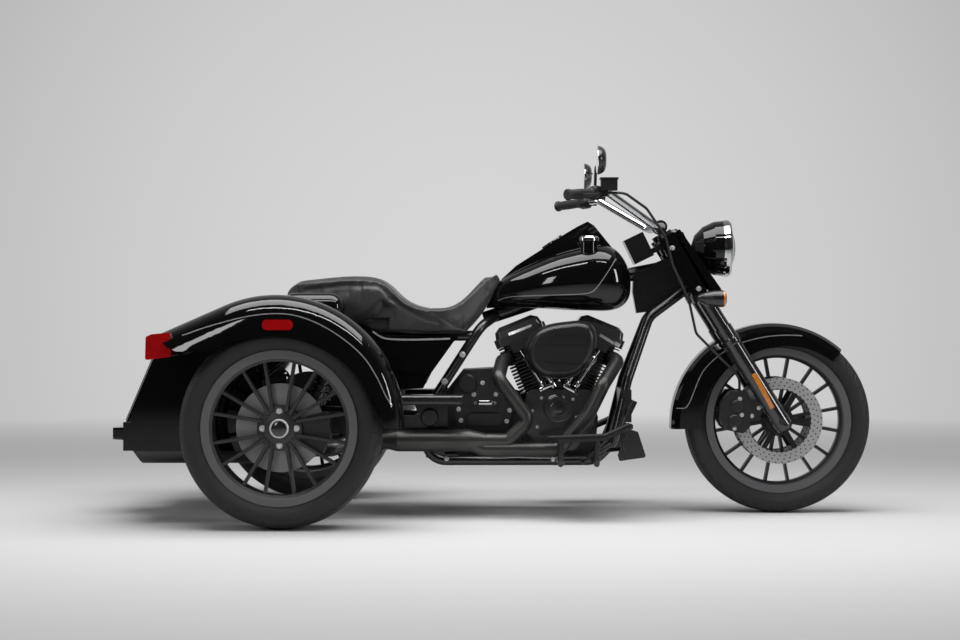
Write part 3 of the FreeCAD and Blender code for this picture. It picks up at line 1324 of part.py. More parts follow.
def tail_lamp(fender):
    """Make the right tail lamp: a tapered block under the fender's tail."""
    rear = FENDER_TAIL_X - 42
    outline = [(rear, FENDER_LOW_Z - 28), (rear + 81, FENDER_LOW_Z - 17), (rear + 81, FENDER_LOW_Z + 60),
               (rear + 20, FENDER_LOW_Z + 54), (rear + 2, FENDER_LOW_Z + 46)]
    body = side_plate(outline, -LAMP_OUTER_Y, -LAMP_INNER_Y, 7)
    room = fender.copy()
    room.translate(V(-SEAT, 0, -SEAT))
    return min(body.cut(fender).cut(room).Solids, key=lambda solid: solid.BoundBox.ZMin)


def side_marker():
    """Make the right side marker lamp on the fender's skirt."""
    centre_x = 0.0
    centre_z = REAR_TYRE_RADIUS + 329.7
    half_l = MARKER_LENGTH / 2
    half_h = MARKER_HEIGHT / 2
    outline = [(centre_x - half_l, centre_z - half_h), (centre_x + half_l, centre_z - half_h),
               (centre_x + half_l, centre_z + half_h), (centre_x - half_l, centre_z + half_h)]
    y = -FENDER_HALF_WIDTH - SEAT
    return side_plate(outline, y, y - MARKER_DEPTH, half_h - 1)


def leg_offset(z):
    """Give how far the fork legs sit ahead of the steering axis, square to it."""
    rake = math.radians(STEER_RAKE)
    drop = math.cos(rake) + math.sin(rake) * math.tan(math.radians(FORK_RAKE))
    return (fork_x(z) - steer_x(z)) / drop


def leg_point(z, side=-1):
    """Give a point of a fork leg's axis at a height."""
    return V(fork_x(z), side * LEG_Y, z)


def clamp_plate(upper, grow=0.0):
    """Make one fork clamp: two leg collars joined by a bridge, square to the axis."""
    if upper:
        origin = axis_point(NECK_TOP_Z) + steer_direction() * (1 + SEAT)
        offset = leg_offset(NECK_TOP_Z + CLAMP_THICKNESS / 2)
    else:
        origin = axis_point(NECK_LOW_Z) - steer_direction() * (CLAMP_THICKNESS + 1)
        offset = leg_offset(NECK_LOW_Z - CLAMP_THICKNESS / 2)
    height = CLAMP_THICKNESS + 2 * grow
    front = max(offset, 0) + BRIDGE_REACH + grow
    pieces = [block(min(offset, 0) - BRIDGE_REACH - grow, front, -LEG_Y, LEG_Y, -grow, height - grow)]
    pieces.append(Part.makeCylinder(NECK_RADIUS + 6 + grow, height, V(0, 0, -grow)))
    for side in (-1, 1):
        pieces.append(Part.makeCylinder(COVER_RADIUS + 6 + grow, height, V(offset, side * LEG_Y, -grow)))
    return placed(fused(pieces), origin, steer_direction())


def leg_bores(shape):
    """Bore a clamp for both fork legs."""
    for side in (-1, 1):
        shape = shape.cut(rod(leg_point(SLIDER_TOP_Z - 60, side), leg_point(NECK_TOP_Z + 90, side),
                              LEG_RADIUS + SEAT))
    return shape


def lower_clamp():
    """Make the lower clamp with the steering stem."""
    low = axis_point(NECK_LOW_Z) - steer_direction() * (CLAMP_THICKNESS - 4)
    stem = rod(low, axis_point(NECK_TOP_Z) + steer_direction(), STEM_RADIUS)
    return fused([leg_bores(clamp_plate(False)), stem])


def upper_clamp():
    """Make the upper clamp with the two risers that hold the bar."""
    pieces = [leg_bores(clamp_plate(True))]
    bar = V(BAR_CLAMP_X, 0, BAR_CLAMP_Z)
    drop = (bar - axis_point(NECK_TOP_Z)).dot(steer_direction()) - CLAMP_THICKNESS + 4
    foot = bar - steer_direction() * drop
    for y in (-BAR_CLAMP_Y, BAR_CLAMP_Y):
        pieces.append(rod(foot + V(0, y, 0), bar + V(0, y, 0), RISER_RADIUS))
        pieces.append(rod(bar + V(0, y - 15, 0), bar + V(0, y + 15, 0), BAR_RADIUS + 10))
    rear = leg_offset(NECK_TOP_Z + CLAMP_THICKNESS / 2) - BRIDGE_REACH
    half = POD_HALF_WIDTH
    pod = block(-POD_BACK, -POD_FRONT, -half, half, -2, POD_HEIGHT)
    arm = block(-POD_FRONT - 4, rear + 4, -half * 0.6, half * 0.6, 4, CLAMP_THICKNESS - 4)
    dome = turned([(0, CLAMP_THICKNESS - 4), (DOME_RADIUS, CLAMP_THICKNESS - 4),
                   (DOME_RADIUS, CLAMP_THICKNESS + 8),
                   (DOME_RADIUS * 0.7, CLAMP_THICKNESS + 20), (0, CLAMP_THICKNESS + 24)], V(0, 0, 0))
    pieces.append(placed(fused([pod, arm]), axis_point(NECK_TOP_Z), steer_direction()))
    pieces.append(placed(dome, axis_point(NECK_TOP_Z), steer_direction()))
    whole = fused(pieces)
    return whole.cut(rod(bar + V(0, -200, 0), bar + V(0, 200, 0), BAR_RADIUS + SEAT))


def fork_tubes():
    """Make the two chromed upper tubes, capped above the upper clamp."""
    low = SLIDER_TOP_Z - 40
    top = NECK_TOP_Z + 32
    return [rod(leg_point(low, side), leg_point(top, side), LEG_RADIUS) for side in (-1, 1)]


def slider_direction():
    """Give the unit direction of a fork leg, pointing up."""
    rake = math.radians(FORK_RAKE)
    return V(-math.sin(rake), 0, math.cos(rake))


def fork_sliders():
    """Join the two sliders and the axle; each slider has a collar and an axle lug."""
    pieces = []
    for side in (-1, 1):
        foot = leg_point(FRONT_TYRE_RADIUS - 26, side)
        length = (leg_point(SLIDER_TOP_Z, side) - foot).Length
        wide = SLIDER_RADIUS + SLIDER_COLLAR
        profile = [(0, 0), (SLIDER_RADIUS - 5, 0), (SLIDER_RADIUS, 12), (SLIDER_RADIUS, length - 70),
                   (wide, length - 64), (wide, length - 48), (SLIDER_RADIUS, length - 42),
                   (SLIDER_RADIUS, length),
                   (LEG_RADIUS + SEAT, length), (LEG_RADIUS + SEAT, length - 50), (0, length - 50)]
        pieces.append(turned(profile, foot, slider_direction()))
    reach = LEG_Y + SLIDER_RADIUS + 2
    axle = rod(V(WHEELBASE, -reach, FRONT_TYRE_RADIUS), V(WHEELBASE, reach, FRONT_TYRE_RADIUS),
               FRONT_AXLE_RADIUS)
    return fused(pieces + [axle])


def fork_covers():
    """Make the two round covers over the tubes between the clamps."""
    rings = []
    for side in (-1, 1):
        low = leg_point(NECK_LOW_Z + COVER_END_GAP, side)
        high = leg_point(NECK_TOP_Z - COVER_END_GAP, side)
        ring = rod(low, high, COVER_RADIUS).cut(rod(low, high, LEG_RADIUS + SEAT))
        rings.append(ring)
    return rings


def fork_strip():
    """Make the right flat plate that covers the fork between the clamps."""
    low = V(fork_x(NECK_LOW_Z), 0, NECK_LOW_Z)
    outline = [(low.x - 145, low.z + 167), (low.x - 93, low.z + 201), (low.x + 21, low.z - 3),
               (low.x - 19, low.z - 34)]
    outer = -LEG_Y - COVER_RADIUS - 6 - SEAT
    return side_plate(outline, outer, outer - STRIP_THICKNESS, 3)


def nacelle():
    """Make the nacelle's front panel that carries the headlamp, before the legs."""
    low = V(fork_x(NACELLE_LOW_Z), 0, NACELLE_LOW_Z)
    top = V(fork_x(NACELLE_TOP_Z), 0, NACELLE_TOP_Z)
    forward = V(slider_direction().z, 0, -slider_direction().x)
    near = COVER_RADIUS + SEAT
    far = COVER_RADIUS + NACELLE_DEPTH
    outline = [low + forward * near, top + forward * near, top + forward * (far - 12), low + forward * far]
    half = LEG_Y + COVER_RADIUS
    plate = side_plate([(p.x, p.z) for p in outline], -half, half, 5)
    hollow = rod(axis_point(NECK_LOW_Z - 40), axis_point(NECK_TOP_Z + 60), NECK_RADIUS + RUNNING_GAP)
    for upper in (False, True):
        plate = plate.cut(clamp_plate(upper, SEAT))
    return plate.cut(hollow)


def headlamp_shell():
    """Turn the headlamp's shell and trim it to the nacelle's face."""
    front = HEADLAMP_FRONT_X
    r = HEADLAMP_RADIUS
    profile = [(0, -138), (44, -125), (r * 0.75, -97), (r * 0.94, -58), (r - 3, -30), (r - 3, -28),
               (0, -28)]
    shell = turned(profile, V(front, 0, HEADLAMP_Z), X_AXIS)
    top = V(fork_x(NACELLE_TOP_Z), 0, NACELLE_TOP_Z)
    forward = V(slider_direction().z, 0, -slider_direction().x)
    face = top + forward * (COVER_RADIUS + NACELLE_DEPTH - 12 + SEAT)
    low = V(fork_x(NACELLE_LOW_Z), 0, NACELLE_LOW_Z) + forward * (COVER_RADIUS + NACELLE_DEPTH + SEAT)
    run = (face - low).normalize()
    behind = [low - run * 200, face + run * 200, face + run * 200 - X_AXIS * 400,
              low - run * 200 - X_AXIS * 400]
    return shell.cut(side_plate([(p.x, p.z) for p in behind], -300, 300))


def headlamp_ring():
    """Turn the headlamp's trim ring."""
    r = HEADLAMP_RADIUS
    profile = [(r - 12, SEAT - 28), (r - 2, SEAT - 28), (r, -20), (r, -8), (r - 6, 0), (r - 12, 0)]
    return turned(profile, V(HEADLAMP_FRONT_X, 0, HEADLAMP_Z), X_AXIS)


def headlamp_lens():
    """Cut the domed lens from a sphere, to fit inside the trim ring."""
    r = HEADLAMP_RADIUS - 12 - SEAT
    rise = LENS_BULGE + 6
    sphere_r = (r * r + rise * rise) / (2 * rise)
    back = SEAT - 28
    drum = Part.makeCylinder(r, LENS_BULGE - back + 1, V(0, 0, back))
    ball = Part.makeSphere(sphere_r, V(0, 0, LENS_BULGE - sphere_r))
    return placed(drum.common(ball), V(HEADLAMP_FRONT_X, 0, HEADLAMP_Z), X_AXIS)


def bar_points():
    """Give the handlebar's run from the right end to the left."""
    half = [V(BAR_END_X, -BAR_END_Y, BAR_END_Z), V(BAR_END_X + 137, -BAR_END_Y + 150, BAR_END_Z + 15),
            V(BAR_CLAMP_X - 22, -158, BAR_CLAMP_Z - 5),
            V(BAR_CLAMP_X, -100, BAR_CLAMP_Z)]
    return half + [V(p.x, -p.y, p.z) for p in reversed(half)]


def grip_frame():
    """Give the right bar end and the unit run inward along it."""
    points = bar_points()
    return points[0], (points[1] - points[0]).normalize()


def grip():
    """Make the right grip with ribbed ends round the bar."""
    end, run = grip_frame()
    start = end - run * 6
    profile = [(0, 0), (GRIP_RADIUS - 2, 0), (GRIP_RADIUS + 2, 3), (GRIP_RADIUS + 2, 8),
               (GRIP_RADIUS - 1, 14),
               (GRIP_RADIUS, 60), (GRIP_RADIUS - 1, 112), (GRIP_RADIUS + 3, 118), (GRIP_RADIUS + 3, 124),
               (0, 124)]
    body = turned(profile, start, run)
    return body.cut(rod(end - run * SEAT, end + run * 140, BAR_RADIUS + SEAT))


def perch(grow=0.0):
    """Make the lever's block before the right switch housing."""
    end, run = grip_frame()
    half = 12 + grow
    body = block(-half, half, -half, half, PERCH_BACK - grow, PERCH_REACH + grow)
    return placed(body, end + run * PERCH_PLACE + V(0, -8, 0), X_AXIS)


def switch_housing():
    """Make the right switch housing round the bar, with its lever block and reservoir."""
    end, run = grip_frame()
    start = end + run * (118 + SEAT)
    body = turned([(0, 0), (22, 2), (24, 8), (24, 34), (20, 40), (0, 40)], start, run)
    foot = end + run * PERCH_PLACE + V(0, -8, 0)
    pot = block(foot.x + 18, foot.x + 72, foot.y - 28, foot.y + 28, foot.z + 8, foot.z + 44)
    lid = block(foot.x + 15, foot.x + 75, foot.y - 31, foot.y + 31, foot.z + 44, foot.z + 50)
    return fused([body, perch(), pot, lid]).cut(rod(end, end + run * 200, BAR_RADIUS + SEAT))


def lever():
    """Sweep the right hand lever before the grip."""
    end, run = grip_frame()
    points = [end + run * PERCH_PLACE + V(26, -8, 0), end + run * 70 + V(46, -12, -4),
              end - run * 5 + V(50, -8, -2)]
    return tube(points, LEVER_RADIUS, LEVER_BEND).cut(perch(SEAT))


def mirror():
    """Make the right mirror: a bent stem and an oval, domed head."""
    end, run = grip_frame()
    foot = end + run * 138 + V(0, 0, 24 + SEAT)
    head = V(MIRROR_X, -MIRROR_Y, MIRROR_Z)
    stem = tube([foot, foot + V(2, -4, 62), head + V(26, 36, 8), head + V(8, 0, 0)], 5, 16)
    wires = []
    for x, scale in ((0, 1.0), (14, 0.9), (26, 0.55)):
        wires.append(oval_wire(head + V(x, 0, 0), MIRROR_WIDTH / 2 * scale, MIRROR_HEIGHT / 2 * scale))
    return fused([Part.makeLoft(wires, True, False), stem])


def oval_wire(centre, half_y, half_z):
    """Draw an upright oval across the vehicle."""
    tall = V(0, half_y, 0) if half_y >= half_z else V(0, 0, half_z)
    short = V(0, 0, half_z) if half_y >= half_z else V(0, half_y, 0)
    ellipse = Part.Ellipse(centre + tall, centre + short, centre)
    return Part.Wire(ellipse.toShape())


def mirror_glass():
    """Make the right mirror's flat glass."""
    face = Part.Face(oval_wire(V(MIRROR_X - SEAT, -MIRROR_Y, MIRROR_Z), MIRROR_WIDTH / 2 - 5,
                               MIRROR_HEIGHT / 2 - 5))
    return face.extrude(V(-2, 0, 0))


def turn_signal():
    """Turn the right front indicator's bullet housing with its stalk."""
    centre = V(SIGNAL_X, -SIGNAL_Y, SIGNAL_Z)
    r = SIGNAL_RADIUS
    body = turned([(0, -94), (r * 0.35, -88), (r * 0.72, -66), (r * 0.95, -36), (r, -8), (r, -4), (0, -4)],
                  centre, X_AXIS)
    inner = LEG_Y + COVER_RADIUS + 6
    stalk = rod(V(SIGNAL_X - 34, -SIGNAL_Y, SIGNAL_Z), V(SIGNAL_X - 34, -inner + 14, SIGNAL_Z), 8)
    return fused([body, stalk]).cut(clamp_plate(False, SEAT))


def signal_lens():
    """Turn the right front indicator's lens."""
    centre = V(SIGNAL_X, -SIGNAL_Y, SIGNAL_Z)
    r = SIGNAL_RADIUS - 2
    return turned([(0, SEAT - 4), (r, SEAT - 4), (r, 2), (r * 0.6, 8), (0, 10)], centre, X_AXIS)


def front_fender():
    """Sweep the front fender's section round the tyre, deeper at the rear."""
    centre = V(WHEELBASE - FRONT_FENDER_SHIFT, 0, FRONT_TYRE_RADIUS - FRONT_FENDER_SHIFT)
    half = LEG_Y - SLIDER_RADIUS - SLIDER_COLLAR - SEAT
    skin = FRONT_FENDER_SKIN
    r = FRONT_FENDER_RADIUS
    outer = [(r - FENDER_DROP, half), (r - 30, half), (r - 12, half - 10), (r - 2, half - 34), (r, 0)]
    inner = [(r - FENDER_DROP, half - skin), (r - 31, half - skin), (r - 14, half - 12),
             (r - 2 - skin, half - 36),
             (r - skin, 0)]
    outer += [(a, -b) for a, b in reversed(outer[:-1])]
    inner += [(a, -b) for a, b in reversed(inner[:-1])]
    profile = outer + list(reversed(inner))
    points = [V(a, b, 0) for a, b in profile]
    face = Part.Face(Part.makePolygon(points + [points[0]]))
    shell = face.revolve(V(0, 0, 0), Y_AXIS, -(FRONT_FENDER_END - FRONT_FENDER_START))
    shell.rotate(V(0, 0, 0), Y_AXIS, -FRONT_FENDER_START)
    shell.translate(centre)
    low = V(WHEELBASE + 24, -200, FRONT_TYRE_RADIUS - 6)
    trim = rod(low, low + Y_AXIS * 400, FRONT_TYRE_RADIUS - 57.3)
    tyre_room = rod(V(WHEELBASE, -200, FRONT_TYRE_RADIUS), V(WHEELBASE, 200, FRONT_TYRE_RADIUS), 120)
    return shell.cut(trim).cut(tyre_room)


def front_caliper():
    """Make the right front caliper over the disc, with bosses and a bracket on the slider."""
    hub = V(WHEELBASE, 0, FRONT_TYRE_RADIUS)
    steps = [(-206, 62), (-172, 103), (-112, 103), (-104, 40), (-104, -20), (-128, -42), (-188, -30),
             (-206, 0)]
    outer = -LEG_Y + 4
    body = side_plate([(hub.x + x, hub.z + z) for x, z in steps], outer, 12 - FRONT_DISC_PLACE, 14)
    steps = [(-130, 70), (-60, 76), (-40, 40), (-52, 0), (-130, 0)]
    arm = side_plate([(hub.x + x, hub.z + z) for x, z in steps], outer + 4, outer + 16, 12)
    pieces = [body, arm]
    for x, z in ((-150, 52), (-158, 2)):
        pieces.append(turned([(0, 0), (21, 0), (21, 7), (17, 10), (0, 10)], hub + V(x, outer + 1, z),
                             RIGHT))
    near = -FRONT_DISC_PLACE + CALIPER_GAP
    far = -FRONT_DISC_PLACE - DISC_THICKNESS - CALIPER_GAP
    slot = rod(hub + V(0, near, 0), hub + V(0, far, 0), FRONT_DISC_RADIUS + 6)
    inner_cut = rod(hub + V(0, far - 30, 0), hub, FRONT_DISC_BAND + 28)
    leg = rod(leg_point(SLIDER_TOP_Z), leg_point(FRONT_TYRE_RADIUS - 40), SLIDER_RADIUS + SEAT)
    whole = fused(pieces).cut(slot).cut(inner_cut).cut(leg)
    return max(whole.Solids, key=lambda solid: solid.Volume)


def brake_hose():
    """Sweep the hose from the right caliper up to the right hand lever."""
    end, run = grip_frame()
    low = V(HOSE_START_X, -LEG_Y + 18, CALIPER_TOP_Z + SEAT + HOSE_RADIUS * 0.06)
    high = end + run * PERCH_PLACE + V(PERCH_REACH + SEAT, -8, 0)
    out = -LEG_Y - COVER_RADIUS
    points = [low, low + Z_AXIS * 48, V(WHEELBASE - 215, out - 4, 540), V(WHEELBASE - 295, out - 14, 620),
              V(WHEELBASE - 320, out - 25, 730), V(WHEELBASE - 375, out - 27, 850),
              V(WHEELBASE - 403, out - 48, 950),
              V(WHEELBASE - 469, -240, 1040), high + X_AXIS * 55, high]
    return tube(points, HOSE_RADIUS, HOSE_BEND)


def belt_loop(front, front_r, rear, rear_r, y, width, thickness):
    """Make a belt: the band between two loops round both pulleys."""
    outer = stadium_wire(front.x, front.z, front_r + thickness, rear.x, rear.z, rear_r + thickness, y)
    inner = stadium_wire(front.x, front.z, front_r, rear.x, rear.z, rear_r, y)
    band = Part.Face(outer).cut(Part.Face(inner))
    return band.Faces[0].extrude(V(0, width, 0))


def drive_belt():
    """Make the drive belt and its two pulleys on the left."""
    front = V(GEARBOX_X, BELT_Y, CRANK_Z + 50)
    rear = V(0, BELT_Y, REAR_TYRE_RADIUS)
    belt = belt_loop(front, BELT_FRONT_RADIUS, rear, BELT_REAR_RADIUS, BELT_Y + 3, BELT_WIDTH - 6, 5)
    first = turned([(0, 0), (BELT_FRONT_RADIUS - SEAT, 0), (BELT_FRONT_RADIUS - SEAT, BELT_WIDTH),
                    (0, BELT_WIDTH)],
                   front, Y_AXIS)
    last = turned([(AXLE_TUBE_RADIUS + SEAT, 0), (BELT_REAR_RADIUS - SEAT, 0),
                   (BELT_REAR_RADIUS - SEAT, BELT_WIDTH),
                   (AXLE_TUBE_RADIUS + SEAT, BELT_WIDTH)], rear, Y_AXIS)
    return [belt, first, last]


def footboard():
    """Make the right footboard: its curved plate and ribbed pad."""
    low = [(x, board_under(x)) for x in (BOARD_REAR_X, BOARD_REAR_X + 200)] + [(BOARD_REAR_X + 296,
                                                                                BOARD_Z + 28)]
    high = [(x + 1, z + 12) for x, z in reversed(low)]
    tray = side_plate(low + high, -BOARD_Y - BOARD_WIDTH, -BOARD_Y)
    plan = [(BOARD_REAR_X, -BOARD_Y - 12), (BOARD_REAR_X + 40, -BOARD_Y), (BOARD_REAR_X + 290, -BOARD_Y),
            (BOARD_REAR_X + 320, -BOARD_Y - 24), (BOARD_REAR_X + 320, -BOARD_Y - BOARD_WIDTH + 26),
            (BOARD_REAR_X + 270, -BOARD_Y - BOARD_WIDTH), (BOARD_REAR_X + 50, -BOARD_Y - BOARD_WIDTH),
            (BOARD_REAR_X, -BOARD_Y - BOARD_WIDTH + 34)]
    tray = tray.common(flat_plate(plan, BOARD_Z - 60, BOARD_Z + 80, 8))
    pad = [(x + 8, z + 12 + SEAT * 3) for x, z in low[:2]] + [(low[2][0] - 8, low[2][1] + 10)]
    top = [(x, z + 6) for x, z in reversed(pad)]
    rubber = side_plate(pad + top, -BOARD_Y - BOARD_WIDTH + 14, -BOARD_Y - 14)
    inner_plan = [(x + (BOARD_REAR_X + 160 - x) * 0.1, y + (-BOARD_Y - BOARD_WIDTH / 2 - y) * 0.2) for x,
                  y in plan]
    rubber = rubber.common(flat_plate(inner_plan, BOARD_Z - 60, BOARD_Z + 80, 6)).cut(tray)
    return tray, rubber


def passenger_rest():
    """Make the right passenger footrest with its arm to the frame and its pivot cover."""
    rear = PIVOT_X - 60
    low = REST_TOP_Z - 33
    tip = -REST_Y - REST_WIDTH
    plate = block(rear, rear + 212, tip, -REST_Y, low, REST_TOP_Z)
    rounds = [edge for edge in plate.Edges if edge.BoundBox.YLength < 1 and edge.BoundBox.XLength > 1
              or edge.BoundBox.ZLength > 1]
    plate = plate.makeFillet(12, rounds)
    web = side_plate([(rear + 44, low + 4), (rear + 152, low + 4), (rear + 138, PIVOT_Z + 40),
                      (rear + 124, PIVOT_Z - 6),
                      (rear + 80, PIVOT_Z - 8), (rear + 60, PIVOT_Z + 30)], -REST_Y - 10, -REST_Y)
    cover = turned([(0, 0), (30, 0), (30, 20), (26, 26), (0, 26)],
                   V(PIVOT_X + 38, -REST_Y - 4, PIVOT_Z + 20), RIGHT)
    inner = -RAIL_Y - SEAT
    arm = rod(V(PIVOT_X + 62, -REST_Y - 20, low + 12), V(PIVOT_X + 62, inner, low + 12), 10)
    room = tube(loop_points(), TUBE_RADIUS + SEAT, BEND_RADIUS)
    arm = max(arm.cut(room).Solids, key=lambda solid: solid.Volume)
    return fused([plate, web, cover, arm])


def foot_pedal():
    """Make the right foot pedal: its pivot at the frame's rail, its arm and its pad."""
    rail = V(RAIL_FRONT_X - 45, -RAIL_Y - TUBE_RADIUS - SEAT, RAIL_Z)
    elbow = V(rail.x, -PEDAL_Y, RAIL_Z)
    pad = V(RAIL_FRONT_X + 96, -PEDAL_Y, REST_TOP_Z - 46)
    arm = tube([rail, elbow, V(RAIL_FRONT_X + 50, -PEDAL_Y, RAIL_Z + 62), pad + V(-8, 0, -30), pad],
               PEDAL_RADIUS, 12)
    plate = side_plate([(pad.x - 4, pad.z - 26), (pad.x + 8, pad.z - 30), (pad.x + 34, pad.z + 24),
                        (pad.x + 20, pad.z + 30)],
                       -PEDAL_Y - 80, -PEDAL_Y + 14, 3)
    return fused([arm, plate])


def oil_cooler():
    """Make the oil cooler between the frame's front tubes."""
    x = RAIL_FRONT_X + 88
    body = block(x, x + 34, -RAIL_Y, RAIL_Y, RAIL_Z + 130, RAIL_Z + 240)
    run = loop_points()
    for room in both_sides(tube(run, TUBE_RADIUS + SEAT, BEND_RADIUS)):
        body = body.cut(room)
    return min(body.Solids, key=lambda solid: abs(solid.CenterOfMass.y))


def board_under(x):
    """Give the height of the footboard's flat underside at an X."""
    return BOARD_Z - BOARD_DIP + (x - BOARD_REAR_X) * BOARD_SLOPE


def board_bracket():
    """Make the right footboard's two arms from the frame's rail."""
    rail = -RAIL_Y - TUBE_RADIUS - SEAT
    arms = []
    for shift in (60, 180):
        x = BOARD_REAR_X + shift
        top = board_under(x) - SEAT - ARM_RADIUS * BOARD_SLOPE
        y = -BOARD_Y - BOARD_WIDTH / 2
        arms.append(tube([V(x, rail, RAIL_Z), V(x, y, RAIL_Z), V(x, y, top)], ARM_RADIUS, 14))
    return arms


def splash_guard():
    """Make the right guard plate ahead of the footboard, with its stay to the frame."""
    outline = [(1141, 300), (1166, 292), (1192, 212), (1188, 206), (1104, 194), (1098, 214), (1116, 262)]
    plate = side_plate(outline, -BOARD_Y + 10, -BOARD_Y + 16, 5)
    rail = loop_points()
    start = rail[4] + (rail[3] - rail[4]) * 0.55
    stay = rod(start, V(1124, -BOARD_Y + 12, 236), STAY_RADIUS)
    return fused([plate, stay.cut(tube(rail, TUBE_RADIUS + SEAT, BEND_RADIUS))])


def build_chassis():
    """Write every node of the chassis."""
    tank = fuel_tank()
    tray, rubber = footboard()
    save("frame", [frame()])
    save("rear_axle", [rear_axle()])
    save("rear_calipers", both_sides(rear_caliper()))
    save("swingarm", swingarm())
    save("shock_absorbers", both_sides(shock()))
    save("crankcase", [crankcase()])
    save("cam_cover", [cam_cover()])
    save("cylinders", [cylinder(-1), cylinder(1)])
    save("cylinder_heads", [head(-1), head(1)])
    save("rocker_boxes", [rocker_box(-1), rocker_box(1)])
    save("pushrod_tubes", pushrods())
    save("gearbox", [gearbox()])
    save("primary_cover", [primary_cover()])
    save("intake", [intake()])
    save("air_cleaner", [air_cleaner()])
    save("exhaust_pipes", [exhaust_pipes()])
    save("mufflers", both_sides(muffler()))
    save("drive_belt", drive_belt())
    save("fuel_tank", [tank])
    save("tank_console", [tank_console(tank)])
    save("fuel_cap", [fuel_cap(tank)])
    save("seat", [seat(tank)])
    save("side_covers", both_sides(side_cover()))
    save("rear_body", [rear_body()])
    save("trunk_tub", [trunk_tub()])
    save("rear_valance", [rear_valance(), plate_bracket()])
    fender = rear_fender()
    save("rear_fenders", both_sides(fender))
    save("rear_lamps", both_sides(tail_lamp(fender)) + both_sides(side_marker()))
    save("footboards", both_sides(tray) + both_sides(splash_guard()))
    save("footboard_pads", both_sides(rubber))
    save("passenger_rests", both_sides(passenger_rest()))
    save("foot_controls", both_sides(foot_pedal()))
    save("oil_cooler", [oil_cooler()])
    save("board_brackets", [arm for side in board_bracket() for arm in both_sides(side)])


def build_steering():
    """Write every node that turns with the handlebar."""
    panel = nacelle()
    save("fork_clamps", [lower_clamp(), upper_clamp()])
    save("fork_tubes", fork_tubes())
    save("fork_sliders", [fork_sliders()])
    save("fork_covers", fork_covers() + [panel] + both_sides(fork_strip()))
    save("headlamp_shell", [headlamp_shell()])
    save("headlamp_ring", [headlamp_ring()])
    save("headlamp_lens", [headlamp_lens()])
    save("handlebar", [tube(bar_points(), BAR_RADIUS, 50)])
    save("grips", both_sides(grip()))
    save("hand_controls", both_sides(switch_housing()) + both_sides(lever()))
    save("mirrors", both_sides(mirror()))
    save("mirror_glass", both_sides(mirror_glass()))
    save("turn_signals", both_sides(turn_signal()))
    save("signal_lenses", both_sides(signal_lens()))
    save("front_fender", [front_fender()])
    save("front_calipers", both_sides(front_caliper()))
    save("brake_hose", [brake_hose()])


os.makedirs("parts", exist_ok=True)
build_chassis()
build_steering()
save("trunk_door", [trunk_door()])
front_wheel_parts()
rear_wheel_parts()
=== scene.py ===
import json
import math

import bpy
from bpy.props import FloatProperty, FloatVectorProperty, IntProperty, PointerProperty
from mathutils import Matrix, Vector
from mathutils.bvhtree import BVHTree


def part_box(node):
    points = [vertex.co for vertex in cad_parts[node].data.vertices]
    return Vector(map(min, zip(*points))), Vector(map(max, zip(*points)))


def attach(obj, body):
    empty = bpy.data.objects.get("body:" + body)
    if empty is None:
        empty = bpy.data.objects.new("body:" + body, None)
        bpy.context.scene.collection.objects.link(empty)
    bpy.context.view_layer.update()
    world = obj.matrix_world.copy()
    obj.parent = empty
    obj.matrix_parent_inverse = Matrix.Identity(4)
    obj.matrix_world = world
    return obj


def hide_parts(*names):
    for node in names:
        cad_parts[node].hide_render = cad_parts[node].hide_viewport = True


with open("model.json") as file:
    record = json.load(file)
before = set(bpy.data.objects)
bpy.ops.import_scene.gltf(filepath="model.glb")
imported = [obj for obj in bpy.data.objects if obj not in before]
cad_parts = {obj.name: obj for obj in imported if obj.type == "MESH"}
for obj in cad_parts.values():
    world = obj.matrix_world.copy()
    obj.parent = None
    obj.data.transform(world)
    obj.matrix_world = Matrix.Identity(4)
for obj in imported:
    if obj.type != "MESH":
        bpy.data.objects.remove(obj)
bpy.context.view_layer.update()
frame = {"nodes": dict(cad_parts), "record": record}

bl_info = {
    "name": "Motorized Trike Dressing",
    "version": (1, 0, 0),
    "blender": (4, 5, 0),
    "location": "View3D > Sidebar > Trike",
    "description": "Finishes, padding, fasteners and trim for the trike's CAD model",
    "category": "Object",
}

# The photograph's camera
CAMERA_PLACE = (-0.045, -7.5, 0.73)
CAMERA_TILT = 0.503
CAMERA_LENS = 81.17
CAMERA_SENSOR = 36
CAMERA_REACH = 200

# The studio. The floor fades into the backdrop between two distances from its middle, and the
# backdrop's level is shared out between the sides, the part behind the trike and a painted pool of
# light in a small cone straight behind it.
FLOOR_SIZE = 240
FLOOR_FADE = (1.8, 6.5)
FLOOR_GREY = (0.6, 0.6, 0.6, 1)
WORLD_GREY = (0.16, 0.16, 0.163, 1)
SIDE_SHARE = 0.03
WIDE_SHARE = 0.6
# Share of the level that goes to the painted pool of light straight behind the trike
LIGHT_POOL_SHARE = 0.4

# Lights: name, place, target, size in metres and power in watts
LIGHTS = (
    ("softbox_top", (0, -0.4, 3.4), (0, 0, 0), (4.6, 1.9), 150),
    ("strip_top", (0.2, -1.9, 2.9), (0.1, 0, 0.5), (3.6, 0.16), 32),
    ("softbox_near", (-2.4, -5.5, 2.2), (-0.4, 0, 0.5), (0.7, 1.6), 30),
    ("softbox_front", (4.6, -2.4, 1.8), (0.6, 0, 0.6), (0.5, 1.8), 40),
    ("softbox_rear", (-5.0, -0.6, 1.8), (-0.8, 0, 0.5), (0.8, 1.8), 26),
)

